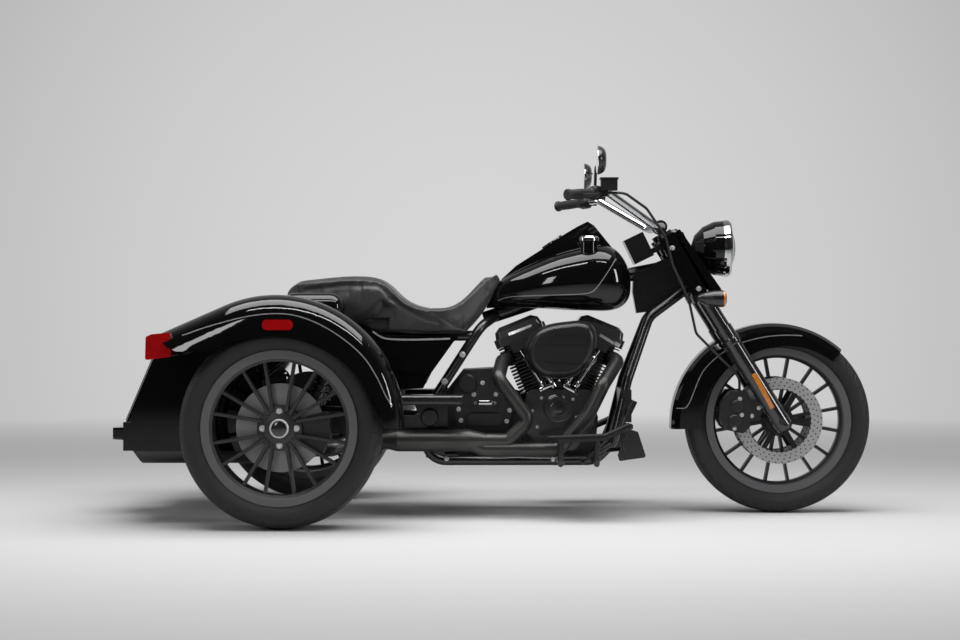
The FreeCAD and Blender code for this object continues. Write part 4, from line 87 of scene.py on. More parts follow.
# Wheels: axle places, then radii of the rims' lip and of the treads' edge. The rear disc has
# its inner and outer radius and its reach along Y, because it shares a node with the wheel.
# The front disc has holes round each row and the pitch of the rows. The fuel cap is painted
# below a height.
FRONT_AXLE = Vector((0.98285, 0, 0.3193))
REAR_AXLE = Vector((-0.68215, -0.553, 0.3253))
RIM_LIP = (0.2225, 0.2505)
FRONT_TREAD = 0.297
REAR_TREAD = 0.302
REAR_DISC = (0.073, 0.146, 0.586, 0.595)
DISC_INSIDE = 0.108
DISC_HOLES = 40
DISC_ROW = 0.0115
CAP_FOOT = 0.937

# Distance from the middle at which the lines that look for a side's surface start
SIDE_START = 1.5


def colour_setting(name, description, default):
    """Make a colour that the panel shows."""
    return FloatVectorProperty(
        name=name, description=description, subtype="COLOR", size=3, min=0, max=1,
        default=default)


def length_setting(name, description, default, least, most):
    """Make a length in metres that the panel shows."""
    return FloatProperty(
        name=name, description=description, unit="LENGTH", min=least, max=most, default=default)


class TrikeSettings(bpy.types.PropertyGroup):
    """Sizes and colours of the trike's finish"""

    paint: colour_setting("Paint", "Bodywork paint", (0.003, 0.003, 0.0032))
    stripe: colour_setting("Pinstripe", "Colour of the thin painted lines", (0.2, 0.2, 0.21))
    alloy: colour_setting("Wheel alloy", "Painted cast wheels", (0.042, 0.043, 0.045))
    vinyl: colour_setting("Saddle cover", "Saddle covering", (0.018, 0.018, 0.018))
    lens_red: colour_setting("Tail lens", "Tail lamp lenses", (0.36, 0.002, 0.003))
    lens_amber: colour_setting("Indicator lens", "Indicator lenses", (0.55, 0.17, 0.015))
    backdrop: FloatProperty(
        name="Backdrop", description="Grey level of the studio", min=0, max=1, default=0.665)
    puff: FloatProperty(
        name="Padding", description="Pressure that fills the saddle", min=0, max=20, default=4.0)
    swell: length_setting("Padding limit", "Most that the padding may move", 0.008, 0, 0.05)
    stripe_width: length_setting(
        "Pinstripe width", "Width of the painted lines", 0.0035, 0.0005, 0.02)
    bolt_sides: IntProperty(
        name="Bolt sides", description="Corners of a bolt head", min=3, max=12, default=6)


def settings():
    """Give the scene's own sizes and colours."""
    return bpy.context.scene.trike


# Selection and mesh helpers

def shut():
    """Leave edit mode."""
    bpy.ops.object.mode_set(mode="OBJECT")


def clear():
    """Leave edit mode and deselect everything."""
    if bpy.context.object and bpy.context.object.mode != "OBJECT":
        shut()
    bpy.ops.object.select_all(action="DESELECT")


def only(obj):
    """Select one object alone and make it active."""
    clear()
    obj.select_set(True)
    bpy.context.view_layer.objects.active = obj
    return obj


def opened(obj):
    """Open a mesh in edit mode with everything selected."""
    only(obj)
    bpy.ops.object.mode_set(mode="EDIT")
    bpy.ops.mesh.select_all(action="SELECT")


def settle(obj):
    """Bake an object's place, turn and size into its mesh."""
    only(obj)
    bpy.ops.object.transform_apply(location=True, rotation=True, scale=True)
    return obj


def apply_modifiers(obj):
    """Apply every modifier of an object in order."""
    only(obj)
    for modifier in list(obj.modifiers):
        bpy.ops.object.modifier_apply(modifier=modifier.name)
    return obj


def finish_piece(obj, name, body, slot, look=None):
    """Name a finished piece, let it ride on a body and give it its slot's or another finish."""
    obj.name = name
    obj.data.name = name
    obj.data.materials.clear()
    obj.data.materials.append(MATERIALS[look or slot])
    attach(obj, body)
    return obj


def joined(pieces):
    """Join several mesh objects into the first."""
    clear()
    for piece in pieces:
        piece.select_set(True)
    bpy.context.view_layer.objects.active = pieces[0]
    if len(pieces) > 1:
        bpy.ops.object.join()
    return pieces[0]


def copied(model):
    """Give a copy of an object with its own mesh."""
    twin = model.copy()
    twin.data = model.data.copy()
    bpy.context.collection.objects.link(twin)
    return twin


def mirror_copy(obj):
    """Give a copy of a settled piece on the other side of the vehicle."""
    twin = only(copied(obj))
    twin.scale = (1, -1, 1)
    settle(twin)
    opened(twin)
    bpy.ops.mesh.flip_normals()
    shut()
    return twin


# Modelling helpers

def picked(obj, test):
    """Open a mesh in edit mode with only the faces that pass a test selected."""
    only(obj)
    bpy.ops.object.mode_set(mode="EDIT")
    bpy.ops.mesh.select_mode(type="FACE")
    bpy.ops.mesh.select_all(action="DESELECT")
    shut()
    for face in obj.data.polygons:
        face.select = test(face)
    bpy.ops.object.mode_set(mode="EDIT")


def closed(obj, degrees=35):
    """Merge doubles, turn the faces outwards and shade smooth below an angle."""
    opened(obj)
    bpy.ops.mesh.remove_doubles(threshold=0.00002)
    bpy.ops.mesh.normals_make_consistent(inside=False)
    shut()
    bpy.ops.object.shade_smooth_by_angle(angle=math.radians(degrees))
    return obj


def turned(sides, steps, degrees=35):
    """Build a turned solid along Z from (radius, height) steps, closed at both ends."""
    clear()
    last, level = steps[0]
    bpy.ops.mesh.primitive_circle_add(
        vertices=sides, radius=last, fill_type="NGON", location=(0, 0, level))
    obj = settle(bpy.context.object)
    picked(obj, lambda face: True)
    for radius, height in steps[1:]:
        bpy.ops.mesh.extrude_region_move(
            TRANSFORM_OT_translate={"value": (0, 0, height - level)})
        bpy.ops.transform.resize(
            value=(radius / last, radius / last, 1), center_override=(0, 0, height))
        last, level = radius, height
    return closed(obj, degrees)


def block(size, bevel, segments=2):
    """Build a block with rounded edges."""
    clear()
    bpy.ops.mesh.primitive_cube_add(size=1)
    obj = bpy.context.object
    obj.scale = size
    settle(obj)
    picked(obj, lambda face: True)
    bpy.ops.mesh.bevel(offset=bevel, segments=segments, affect="EDGES")
    return closed(obj)


def smooth_line(points, resolution):
    """Start a smooth curve along a line of points."""
    clear()
    bpy.ops.curve.primitive_nurbs_path_add(location=(0, 0, 0))
    path = bpy.context.object
    path.data.splines.clear()
    line = path.data.splines.new("NURBS")
    line.points.add(len(points) - 1)
    for knot, point in zip(line.points, points):
        knot.co = (*point, 1)
    line.order_u = 3
    line.use_endpoint_u = True
    path.data.resolution_u = resolution
    return path


def tube(points, radius, sides):
    """Build a closed round cord along a smooth line of points."""
    path = smooth_line(points, 6)
    path.data.bevel_depth = radius
    path.data.bevel_resolution = sides
    path.data.use_fill_caps = True
    bpy.ops.object.convert(target="MESH")
    return closed(bpy.context.object, 40)


def stand(model, place, direction=(0, 0, 1), size=1.0, turn=0.0):
    """Stand a model on a place so that it points in a direction."""
    facing = Vector(direction).to_track_quat("Z", "Y").to_matrix().to_4x4()
    spin = Matrix.Rotation(turn, 4, "Z")
    model.data.transform(
        Matrix.Translation(Vector(place)) @ facing @ spin @ Matrix.Scale(size, 4))
    return model


def placed(model, place, direction=(0, 0, 1), size=1.0, turn=0.0):
    """Give a copy of a model that stands on a place and points in a direction."""
    return stand(copied(model), place, direction, size, turn)


def drop(*models):
    """Delete the models that copies were made from."""
    clear()
    for model in models:
        model.select_set(True)
    bpy.ops.object.delete()


SURFACES = {}


def touch(target, place, direction):
    """Find where a line from a place meets a node or piece, and how the surface faces."""
    if target not in SURFACES:
        mesh = (frame["nodes"][target] if isinstance(target, str) else target).data
        mesh.calc_loop_triangles()
        SURFACES[target] = BVHTree.FromPolygons(
            [vertex.co for vertex in mesh.vertices],
            [triangle.vertices for triangle in mesh.loop_triangles])
    point, normal, _, _ = SURFACES[target].ray_cast(Vector(place), Vector(direction))
    if point is None:
        raise RuntimeError(f"a line from {place} misses {target}")
    return point, normal


def on_side(target, spot, side=-1):
    """Find the surface at (x, z) as seen from the right (-1) or left (1) side."""
    return touch(target, (spot[0], side * SIDE_START, spot[1]), (0, -side, 0))


def both_sides(pieces):
    """Add the mirror image of each piece."""
    return pieces + [mirror_copy(piece) for piece in pieces]


def around(degrees, radius=1.0):
    """Give a step at an angle from X towards Z."""
    turn = math.radians(degrees)
    return Vector((math.cos(turn), 0, math.sin(turn))) * radius


# Screws, 1 m across the washer or flange, as (radius, height) steps
SCREW_STEPS = ((0.5, -0.4), (0.5, 0.06), (0.48, 0.1), (0.38, 0.1), (0.38, 0.38), (0.34, 0.43),
               (0.2, 0.43), (0.17, 0.24), (0.02, 0.24))
FLANGE_STEPS = ((0.5, -0.4), (0.5, 0.05), (0.47, 0.09), (0.02, 0.1))
HEAD_STEPS = ((0.36, 0.0), (0.39, 0.08), (0.39, 0.3), (0.33, 0.37), (0.22, 0.38), (0.2, 0.34),
              (0.02, 0.34))


def cap_screw():
    """Model a socket head screw on a washer."""
    return turned(20, SCREW_STEPS, 30)


def hex_bolt():
    """Model a flanged hexagon bolt."""
    return joined([turned(24, FLANGE_STEPS), turned(settings().bolt_sides, HEAD_STEPS, 25)])


def screws(model, target, spots, width, side=-1):
    """Set copies of a screw on the surface that (x, z) spots meet, pointing straight out."""
    return [placed(model, on_side(target, spot, side)[0], (0, side, 0), width, index * 0.7)
            for index, spot in enumerate(spots)]


def ribbon(target, spots, width, side=-1, lift=0.0004, body=0.0005):
    """Lay a thin line of paint or trim on a surface along (x, z) spots."""
    smooth_line([(spot[0], 0, spot[1]) for spot in spots], 10)
    bpy.ops.object.convert(target="MESH")
    strip = bpy.context.object
    opened(strip)
    bpy.ops.mesh.extrude_edges_move(TRANSFORM_OT_translate={"value": (0, 0.001, 0)})
    shut()
    bar = strip.modifiers.new("Width", "SOLIDIFY")
    bar.thickness = width
    bar.offset = 0
    bar.use_even_offset = True
    apply_modifiers(strip)
    closed(strip)
    picked(strip, lambda face: face.normal.y * side < 0.9)
    bpy.ops.mesh.delete(type="FACE")
    shut()
    for vertex in strip.data.vertices:
        point, normal = on_side(target, (vertex.co.x, vertex.co.z), side)
        vertex.co = point + normal * lift
    skin = strip.modifiers.new("Skin", "SOLIDIFY")
    skin.thickness = body
    skin.offset = 1
    return closed(apply_modifiers(strip))


# Shader node helpers

def new_group(name, inputs, outputs):
    """Start a shader node group, and give it with its inner ends."""
    group = bpy.data.node_groups.new(name, "ShaderNodeTree")
    for way, sockets in (("INPUT", inputs), ("OUTPUT", outputs)):
        for title, kind in sockets.items():
            group.interface.new_socket(title, in_out=way, socket_type="NodeSocket" + kind)
    enter, leave = group.nodes.new("NodeGroupInput"), group.nodes.new("NodeGroupOutput")
    return group, enter.outputs, leave.inputs


def feed(tree, socket, value):
    """Link a socket to a node's output, or set its value."""
    if hasattr(value, "links"):
        tree.links.new(value, socket)
    elif value is not None:
        socket.default_value = value


def add_node(tree, kind, inputs=None, **options):
    """Add a shader node with its options and inputs, and give its outputs."""
    node = tree.nodes.new("ShaderNode" + kind)
    for title, value in options.items():
        setattr(node, title, value)
    for title, value in (inputs or {}).items():
        feed(tree, node.inputs[title], value)
    return node.outputs


def math_node(tree, operation, first, second=None, limit=False):
    """Add a Math node."""
    return add_node(tree, "Math", {0: first, 1: second}, operation=operation, use_clamp=limit)[0]


def times(tree, first, second):
    """Multiply two values."""
    return math_node(tree, "MULTIPLY", first, second)


def plus(tree, first, second, limit=False):
    """Add two values."""
    return math_node(tree, "ADD", first, second, limit)


def minus(tree, first, second):
    """Take one value from another."""
    return math_node(tree, "SUBTRACT", first, second)


def vector_math(tree, operation, first, second=None):
    """Add a Vector Math node and give its outputs."""
    return add_node(tree, "VectorMath", {0: first, 1: second}, operation=operation)


def axes(tree, value=None):
    """Split a vector, or else the Object coordinates, into X, Y and Z."""
    return add_node(tree, "SeparateXYZ", {0: value or add_node(tree, "TexCoord")["Object"]})


def mix_colour(tree, factor, first, second):
    """Add a colour Mix node."""
    return add_node(tree, "Mix", {0: factor, 6: first, 7: second}, data_type="RGBA")[2]


def mix_shader(tree, factor, first, second):
    """Add a Mix Shader node."""
    return add_node(tree, "MixShader", {0: factor, 1: first, 2: second})[0]


def noise(tree, place, scale, detail=3.0):
    """Add a Noise texture on Object coordinates."""
    return add_node(
        tree, "TexNoise", {"Vector": place, "Detail": detail, "Scale": scale})["Fac"]


def remap(tree, value, low, high, to_low=0.0, to_high=1.0):
    """Add a clamped Map Range node."""
    return add_node(tree, "MapRange", {
        "Value": value, "From Min": low, "From Max": high, "To Min": to_low,
        "To Max": to_high})["Result"]


def band_mask(tree, value, low, high, edge=0.0005):
    """Give 1 between two values and 0 outside them."""
    above = remap(tree, value, low - edge, low + edge)
    below = remap(tree, value, high - edge, high + edge, 1.0, 0.0)
    return times(tree, above, below)


# Shader node groups

def surface_group():
    """Build the group for slow tone changes, fine wear and settled dust."""
    group, enter, leave = new_group(
        "Surface Tone",
        {"Place": "Vector", "Colour": "Color", "Shade": "Float", "Scale": "Float",
         "Roughness": "Float", "Spread": "Float", "Dust": "Float"},
        {"Colour": "Color", "Roughness": "Float"})
    place, spread = enter["Place"], enter["Spread"]
    cloud = noise(group, place, enter["Scale"], 4.0)
    fine = noise(group, place, 420.0, 2.0)
    shade = times(group, remap(group, cloud, 0.3, 0.7), enter["Shade"])
    toned = mix_colour(group, shade, enter["Colour"], (0.0, 0.0, 0.0, 1))
    facing = axes(group, add_node(group, "NewGeometry")["Normal"])
    upward = remap(group, facing["Z"], 0.2, 1.0)
    settled = times(group, upward, remap(group, noise(group, place, 30.0, 5.0), 0.35, 0.75))
    dusty = times(group, settled, enter["Dust"])
    coloured = mix_colour(group, dusty, toned, (0.3, 0.29, 0.27, 1))
    group.links.new(coloured, leave["Colour"])
    swing = times(group, minus(group, fine, 0.5), spread)
    slow = times(group, minus(group, cloud, 0.5), spread)
    rough = plus(group, enter["Roughness"], plus(group, swing, slow))
    rough = plus(group, rough, times(group, dusty, 0.6), limit=True)
    group.links.new(rough, leave["Roughness"])
    return group


def grain_group():
    """Build the group for pebbled grain: leather, cast metal and moulded skin."""
    group, enter, leave = new_group(
        "Pebble Grain", {"Place": "Vector", "Scale": "Float", "Depth": "Float"},
        {"Height": "Float"})
    place, scale = enter["Place"], enter["Scale"]
    cells = add_node(
        group, "TexVoronoi", {"Vector": place, "Scale": scale}, feature="SMOOTH_F1")
    broad = noise(group, place, times(group, scale, 0.3))
    pebble = minus(group, 1.0, cells["Distance"])
    height = plus(group, pebble, times(group, broad, 0.6))
    group.links.new(times(group, height, enter["Depth"]), leave["Height"])
    return group


def turned_group():
    """Build the group for fine rings round an axle, as turning and brushing leave."""
    group, enter, leave = new_group(
        "Turned Rings", {"Radius": "Float", "Pitch": "Float"}, {"Mask": "Float"})
    radius = enter["Radius"]
    wave = math_node(group, "SINE", times(group, radius, enter["Pitch"]))
    other = math_node(group, "SINE", times(group, radius, 3170.0))
    both = plus(group, times(group, wave, 0.3), times(group, other, 0.2))
    group.links.new(plus(group, both, 0.5), leave["Mask"])
    return group


GROUPS = {}


def group_node(tree, name, values):
    """Place a shared group in a material with its own values."""
    if name not in GROUPS:
        GROUPS[name] = {"Surface Tone": surface_group, "Pebble Grain": grain_group,
                        "Turned Rings": turned_group}[name]()
    return add_node(tree, "Group", values, node_tree=GROUPS[name])


# Finishes: name, colour, roughness, metallic, share that clouds darken, clouds per metre, spread
# of the roughness and dust, then where needed grain (grains per metre, depth, height in metres),
# coat and sheen. A colour in words is one of the settings.
SILVER = (0.6, 0.61, 0.63)
FINISHES = {
    "body_gloss": ("Body Paint", "paint", 0.05, 0.0, 0.1, 3.0, 0.01, 0.004),
    "gloss_cover": ("Cover Paint", (0.01, 0.01, 0.0105), 0.3, 0.0, 0.1, 5.0, 0.03, 0.01),
    "black_paint": ("Powder Coat", (0.006, 0.006, 0.0065), 0.28, 0.0, 0.2, 10.0, 0.05, 0.04,
                    (900.0, 0.5, 0.00015), 0.4),
    "black_cast": ("Cast Paint", (0.011, 0.011, 0.0115), 0.38, 0.0, 0.25, 14.0, 0.08, 0.05,
                   (700.0, 0.8, 0.0003)),
    "engine_black": ("Engine Enamel", (0.011, 0.011, 0.0115), 0.36, 0.0, 0.3, 18.0, 0.08, 0.06,
                     (800.0, 0.7, 0.0003)),
    "engine_satin": ("Engine Covers", (0.026, 0.026, 0.027), 0.28, 0.0, 0.2, 12.0, 0.05, 0.05,
                     None, 0.6),
    "chrome": ("Polished Chrome", SILVER, 0.07, 1.0, 0.05, 20.0, 0.03, 0.01),
    "exhaust_black": ("Heatproof Coat", (0.07, 0.069, 0.067), 0.36, 0.75, 0.3, 9.0, 0.08, 0.05,
                      (1100.0, 0.5, 0.00015)),
    "belt_rubber": ("Belt Rubber", (0.012, 0.012, 0.012), 0.7, 0.0, 0.3, 40.0, 0.1, 0.08,
                    (900.0, 0.7, 0.0003)),
    "seat_vinyl": ("Saddle Vinyl", "vinyl", 0.38, 0.0, 0.25, 10.0, 0.08, 0.03,
                   (520.0, 1.0, 0.0006), 0.0, 0.15),
    "liner_plastic": ("Liner Moulding", (0.02, 0.02, 0.021), 0.6, 0.0, 0.2, 12.0, 0.08, 0.06,
                      (600.0, 0.8, 0.0004)),
    "red_lens": ("Red Lens", "lens_red", 0.1, 0.0, 0.2, 30.0, 0.02, 0.01, None, 1.0),
    "amber_lens": ("Amber Lens", "lens_amber", 0.12, 0.0, 0.2, 30.0, 0.02, 0.01, None, 1.0),
    "clear_lens": ("Headlamp Glass", (0.95, 0.96, 0.98), 0.02, 0.0, 0.06, 12.0, 0.02, 0.01),
    "pad_rubber": ("Pad Rubber", (0.013, 0.013, 0.013), 0.66, 0.0, 0.3, 30.0, 0.1, 0.08,
                   (800.0, 0.8, 0.0004)),
    "grip_rubber": ("Grip Rubber", (0.012, 0.012, 0.012), 0.55, 0.0, 0.2, 30.0, 0.1, 0.04,
                    (1200.0, 0.8, 0.0003)),
    "hose_rubber": ("Hose Rubber", (0.012, 0.012, 0.012), 0.45, 0.0, 0.2, 40.0, 0.08, 0.03,
                    (1500.0, 0.6, 0.0002)),
    "bar_black": ("Bar Enamel", (0.011, 0.011, 0.012), 0.2, 0.0, 0.15, 12.0, 0.04, 0.03,
                  None, 0.7),
    "fork_black": ("Fork Enamel", (0.012, 0.012, 0.013), 0.2, 0.0, 0.15, 8.0, 0.04, 0.03,
                   None, 0.7),
    "mirror": ("Silvered Glass", (0.85, 0.86, 0.88), 0.02, 1.0, 0.03, 20.0, 0.01, 0.01),
    "front_tyre": ("Front Tyre Rubber", (0.009, 0.009, 0.009), 0.58, 0.0, 0.3, 14.0, 0.1, 0.05),
    "rear_tyre": ("Rear Tyre Rubber", (0.009, 0.009, 0.009), 0.58, 0.0, 0.3, 14.0, 0.1, 0.05),
    "front_wheel": ("Front Wheel Alloy", "alloy", 0.42, 0.5, 0.2, 20.0, 0.08, 0.05,
                    (1400.0, 0.4, 0.0002)),
    "rear_wheel": ("Rear Wheel Alloy", "alloy", 0.42, 0.5, 0.2, 20.0, 0.08, 0.05,
                   (1400.0, 0.4, 0.0002)),
    "fuel_cap": ("Cap Chrome", SILVER, 0.08, 1.0, 0.05, 20.0, 0.03, 0.01),
    "disc_steel": ("Turned Disc Steel", (0.46, 0.46, 0.465), 0.34, 0.45, 0.1, 30.0, 0.08, 0.02),
    "satin_metal": ("Satin Metal", (0.5, 0.5, 0.505), 0.26, 0.5, 0.2, 40.0, 0.06, 0.02),
    "dial_white": ("Dial Marks", (0.6, 0.6, 0.58), 0.5, 0.0, 0.1, 60.0, 0.05, 0.02),
    "stripe": ("Pinstripe Paint", "stripe", 0.16, 0.0, 0.1, 30.0, 0.02, 0.01, None, 1.0),
    "bolt_zinc": ("Zinc Fastener", (0.66, 0.66, 0.665), 0.26, 0.4, 0.2, 60.0, 0.1, 0.03),
}
GLASS_IOR = 1.49
MATERIALS = {}


def finish(name, colour, roughness, metallic, shade, scale, spread, dust, grain=None, coat=0.0,
           sheen=0.0):
    """Build one finish: a Principled surface fed by the shared groups."""
    if isinstance(colour, str):
        colour = getattr(settings(), colour)
    material = bpy.data.materials.new(name)
    material.use_nodes = True
    tree = material.node_tree
    shader = tree.nodes["Principled BSDF"]
    place = add_node(tree, "TexCoord")["Object"]
    tone = group_node(tree, "Surface Tone", {
        "Place": place, "Colour": (*colour, 1), "Shade": shade, "Scale": scale,
        "Roughness": roughness, "Spread": spread, "Dust": dust})
    for title, value in (
            ("Base Color", tone["Colour"]), ("Roughness", tone["Roughness"]),
            ("Metallic", metallic), ("Coat Weight", coat), ("Sheen Weight", sheen)):
        feed(tree, shader.inputs[title], value)
    if grain:
        size, depth, strength = grain
        relief = group_node(
            tree, "Pebble Grain", {"Place": place, "Scale": size, "Depth": depth})
        raise_surface(tree, shader, relief["Height"], strength, 0.6)
    return material


def raise_surface(tree, shader, height, distance, strength=1.0):
    """Add a bump of a height in metres to a surface."""
    bump = add_node(
        tree, "Bump", {"Distance": distance, "Strength": strength, "Height": height})
    tree.links.new(bump["Normal"], shader.inputs["Normal"])


def parts_of(key):
    """Give a finish's node tree, its surface and the colour that feeds it."""
    tree = MATERIALS[key].node_tree
    shader = tree.nodes["Principled BSDF"]
    return tree, shader, shader.inputs["Base Color"].links[0].from_socket


def axle_radius(tree, centre):
    """Give the distance from an axle that runs along Y, and its parts along X and Z."""
    place = axes(tree)
    across = minus(tree, place["X"], centre.x)
    above = minus(tree, place["Z"], centre.z)
    square = plus(tree, times(tree, across, across), times(tree, above, above))
    return math_node(tree, "SQRT", square), across, above


def machined_lip(key, centre, disc=None):
    """Brighten a wheel's lip and, where given, the steel disc on the same node."""
    tree, shader, paint = parts_of(key)
    radius = axle_radius(tree, centre)[0]
    rings = group_node(tree, "Turned Rings", {"Radius": radius, "Pitch": 2600.0})["Mask"]
    mask = times(tree, band_mask(tree, radius, *RIM_LIP, 0.001), 0.85)
    bright = mix_colour(tree, rings, (0.1, 0.1, 0.105, 1), (0.17, 0.17, 0.175, 1))
    toned = mix_colour(tree, mask, paint, bright)
    if disc:
        ring = band_mask(tree, radius, *disc[:2])
        depth = band_mask(tree, math_node(tree, "ABSOLUTE", axes(tree)["Y"]), *disc[2:])
        steel = mix_colour(tree, rings, (0.2, 0.2, 0.205, 1), (0.3, 0.3, 0.305, 1))
        toned = mix_colour(tree, times(tree, ring, depth), toned, steel)
    tree.links.new(toned, shader.inputs["Base Color"])


def drilled_mask(tree, radius, across, above, count, pitch):
    """Give 1 on small holes set in slanting rows round an axle."""
    turns = times(tree, math_node(tree, "ARCTAN2", above, across), count / (2 * math.pi))
    rows = math_node(tree, "DIVIDE", radius, pitch)
    lean = times(tree, math_node(tree, "FLOOR", rows), 0.34)
    round_part = minus(tree, math_node(tree, "FRACT", plus(tree, turns, lean)), 0.5)
    row_part = minus(tree, math_node(tree, "FRACT", rows), 0.5)
    wide = times(tree, round_part, times(tree, radius, 2 * math.pi / count))
    tall = times(tree, row_part, pitch)
    square = plus(tree, times(tree, wide, wide), times(tree, tall, tall))
    return remap(tree, math_node(tree, "SQRT", square), 0.0022, 0.0028, 1.0, 0.0)


def moulded_tyre(key, centre, wall):
    """Mould a tyre's side wall rings and the tread grooves across its crown."""
    tree, shader, _ = parts_of(key)
    radius, across, above = axle_radius(tree, centre)
    angle = math_node(tree, "ARCTAN2", above, across)
    side = math_node(tree, "ABSOLUTE", minus(tree, axes(tree)["Y"], centre.y))
    slant = plus(tree, times(tree, angle, 40.0), times(tree, side, 90.0))
    cuts = remap(tree, math_node(tree, "SINE", slant), 0.72, 0.9)
    tread = remap(tree, radius, wall, wall + 0.004)
    rings = remap(tree, math_node(tree, "SINE", times(tree, side, 420.0)), 0.85, 0.97)
    depth = times(tree, tread, math_node(tree, "MAXIMUM", cuts, rings))
    ridges = times(tree, math_node(tree, "SINE", times(tree, radius, 1900.0)), 0.06)
    band = times(tree, ridges, remap(tree, radius, wall - 0.02, wall - 0.015, 1.0, 0.0))
    raise_surface(tree, shader, minus(tree, band, depth), 0.004)


def painted_foot(key, height):
    """Paint a chrome finish in the body's colour below a height."""
    tree, shader, bright = parts_of(key)
    above = remap(tree, axes(tree)["Z"], height - 0.0005, height + 0.0005)
    colour = mix_colour(tree, above, (*settings().paint, 1), bright)
    tree.links.new(colour, shader.inputs["Base Color"])
    tree.links.new(above, shader.inputs["Metallic"])


def drilled_disc(key, centre):
    """Turn a brake disc's steel, paint shade into its drilled holes as near black and darken its
    carrier.
    """
    tree, shader, paint = parts_of(key)
    radius, across, above = axle_radius(tree, centre)
    rings = group_node(tree, "Turned Rings", {"Radius": radius, "Pitch": 5200.0})["Mask"]
    steel = mix_colour(tree, times(tree, rings, 0.3), paint, (0.16, 0.16, 0.165, 1))
    # Painted shade: the drilled holes are coloured near black where one would look into them
    hole_shade = drilled_mask(tree, radius, across, above, DISC_HOLES, DISC_ROW)
    drilled = mix_colour(tree, hole_shade, steel, (0.01, 0.01, 0.01, 1))
    carrier = remap(tree, radius, DISC_INSIDE - 0.0005, DISC_INSIDE + 0.0005, 1.0, 0.0)
    colour = mix_colour(tree, carrier, drilled, (0.011, 0.011, 0.0115, 1))
    tree.links.new(colour, shader.inputs["Base Color"])


def build_finishes():
    """Build every finish, then add what the lens, wheels, tyres, cap and discs need."""
    MATERIALS.update({key: finish(*row) for key, row in FINISHES.items()})
    glass = parts_of("clear_lens")[1]
    glass.inputs["Transmission Weight"].default_value = 1.0
    glass.inputs["IOR"].default_value = GLASS_IOR
    moulded_tyre("front_tyre", FRONT_AXLE, FRONT_TREAD)
    moulded_tyre("rear_tyre", REAR_AXLE, REAR_TREAD)
    machined_lip("front_wheel", FRONT_AXLE)
    machined_lip("rear_wheel", REAR_AXLE, REAR_DISC)
    painted_foot("fuel_cap", CAP_FOOT)
    drilled_disc("disc_steel", FRONT_AXLE)


# CAD nodes whose finish isn't named like their material slot
NODE_FINISHES = {
    "front_tyre": "front_tyre", "rear_tyre_right": "rear_tyre", "rear_tyre_left": "rear_tyre",
    "front_wheel": "front_wheel", "rear_wheel_right": "rear_wheel",
    "rear_wheel_left": "rear_wheel", "fuel_cap": "fuel_cap", "fork_tubes": "fork_black",
}


class TRIKE_OT_stage(bpy.types.Operator):
    """Set up the camera, lights, floor and backdrop"""
    bl_idname = "trike.stage"
    bl_label = "Stage"

    def execute(self, context):
        add_camera(context)
        add_floor()
        add_lights()
        set_world(context)
        context.scene.view_settings.view_transform = "Standard"
        return {"FINISHED"}


def add_camera(context):
    """Add the camera at the photograph's place."""
    clear()
    bpy.ops.object.camera_add(
        location=CAMERA_PLACE, rotation=(math.radians(90 - CAMERA_TILT), 0, 0))
    camera = context.object
    camera.name = "Camera"
    camera.data.lens = CAMERA_LENS
    camera.data.sensor_width = CAMERA_SENSOR
    camera.data.clip_end = CAMERA_REACH
    context.scene.camera = camera


def add_floor():
    """Add the pale floor, which fades into the backdrop far out."""
    clear()
    bpy.ops.mesh.primitive_plane_add(size=FLOOR_SIZE, location=(0, 0, 0))
    floor = bpy.context.object
    floor.name = "studio_floor"
    material = bpy.data.materials.new("Studio Floor")
    material.use_nodes = True
    tree = material.node_tree
    shader = tree.nodes["Principled BSDF"]
    shader.inputs["Base Color"].default_value = FLOOR_GREY
    shader.inputs["Roughness"].default_value = 0.9
    shader.inputs["Specular IOR Level"].default_value = 0.1
    place = add_node(tree, "TexCoord")["Object"]
    far = remap(tree, vector_math(tree, "LENGTH", place)["Value"], *FLOOR_FADE)
    ahead = vector_math(tree, "SUBTRACT", place, CAMERA_PLACE)[0]
    glow = add_node(tree, "Emission", {"Color": studio_level(tree, ahead)})[0]
    shown = times(tree, far, seen_rays(tree))
    blend = mix_shader(tree, shown, shader.outputs[0], glow)
    tree.links.new(blend, tree.nodes["Material Output"].inputs["Surface"])
    floor.data.materials.append(material)


def seen_rays(tree):
    """Give 1 for the rays that show the backdrop: camera, glossy and transmission."""
    rays = add_node(tree, "LightPath")
    bounced = math_node(tree, "MAXIMUM", rays["Is Glossy Ray"], rays["Is Transmission Ray"])
    return math_node(tree, "MAXIMUM", rays["Is Camera Ray"], bounced)


def studio_level(tree, direction):
    """Give the backdrop's grey for a direction, with a painted pool of light straight behind the
    trike.
    """
    ahead = axes(tree, vector_math(tree, "NORMALIZE", direction)[0])["Y"]
    level = settings().backdrop
    wide = remap(tree, ahead, -0.2, 0.95, level * SIDE_SHARE, level * WIDE_SHARE)
    # Painted light: a pool of light on the backdrop, brightest straight behind the trike
    near = remap(tree, ahead, 0.95, 0.999, 0.0, level * LIGHT_POOL_SHARE)
    direct = add_node(tree, "LightPath")["Is Camera Ray"]
    wide = math_node(tree, "MAXIMUM", wide, times(tree, direct, level * WIDE_SHARE))
    return plus(tree, wide, near)


def add_area(name, place, target, size, power):
    """Add one soft light aimed at a point."""
    clear()
    bpy.ops.object.light_add(type="AREA", location=place)
    lamp = bpy.context.object
    lamp.name = name
    lamp.rotation_euler = (Vector(target) - Vector(place)).to_track_quat("-Z", "Y").to_euler()
    lamp.data.shape = "RECTANGLE"
    lamp.data.size, lamp.data.size_y = size
    lamp.data.energy = power


def add_lights():
    """Add the overhead softbox, a strip for crisp edges and weak side lights."""
    for light in LIGHTS:
        add_area(*light)


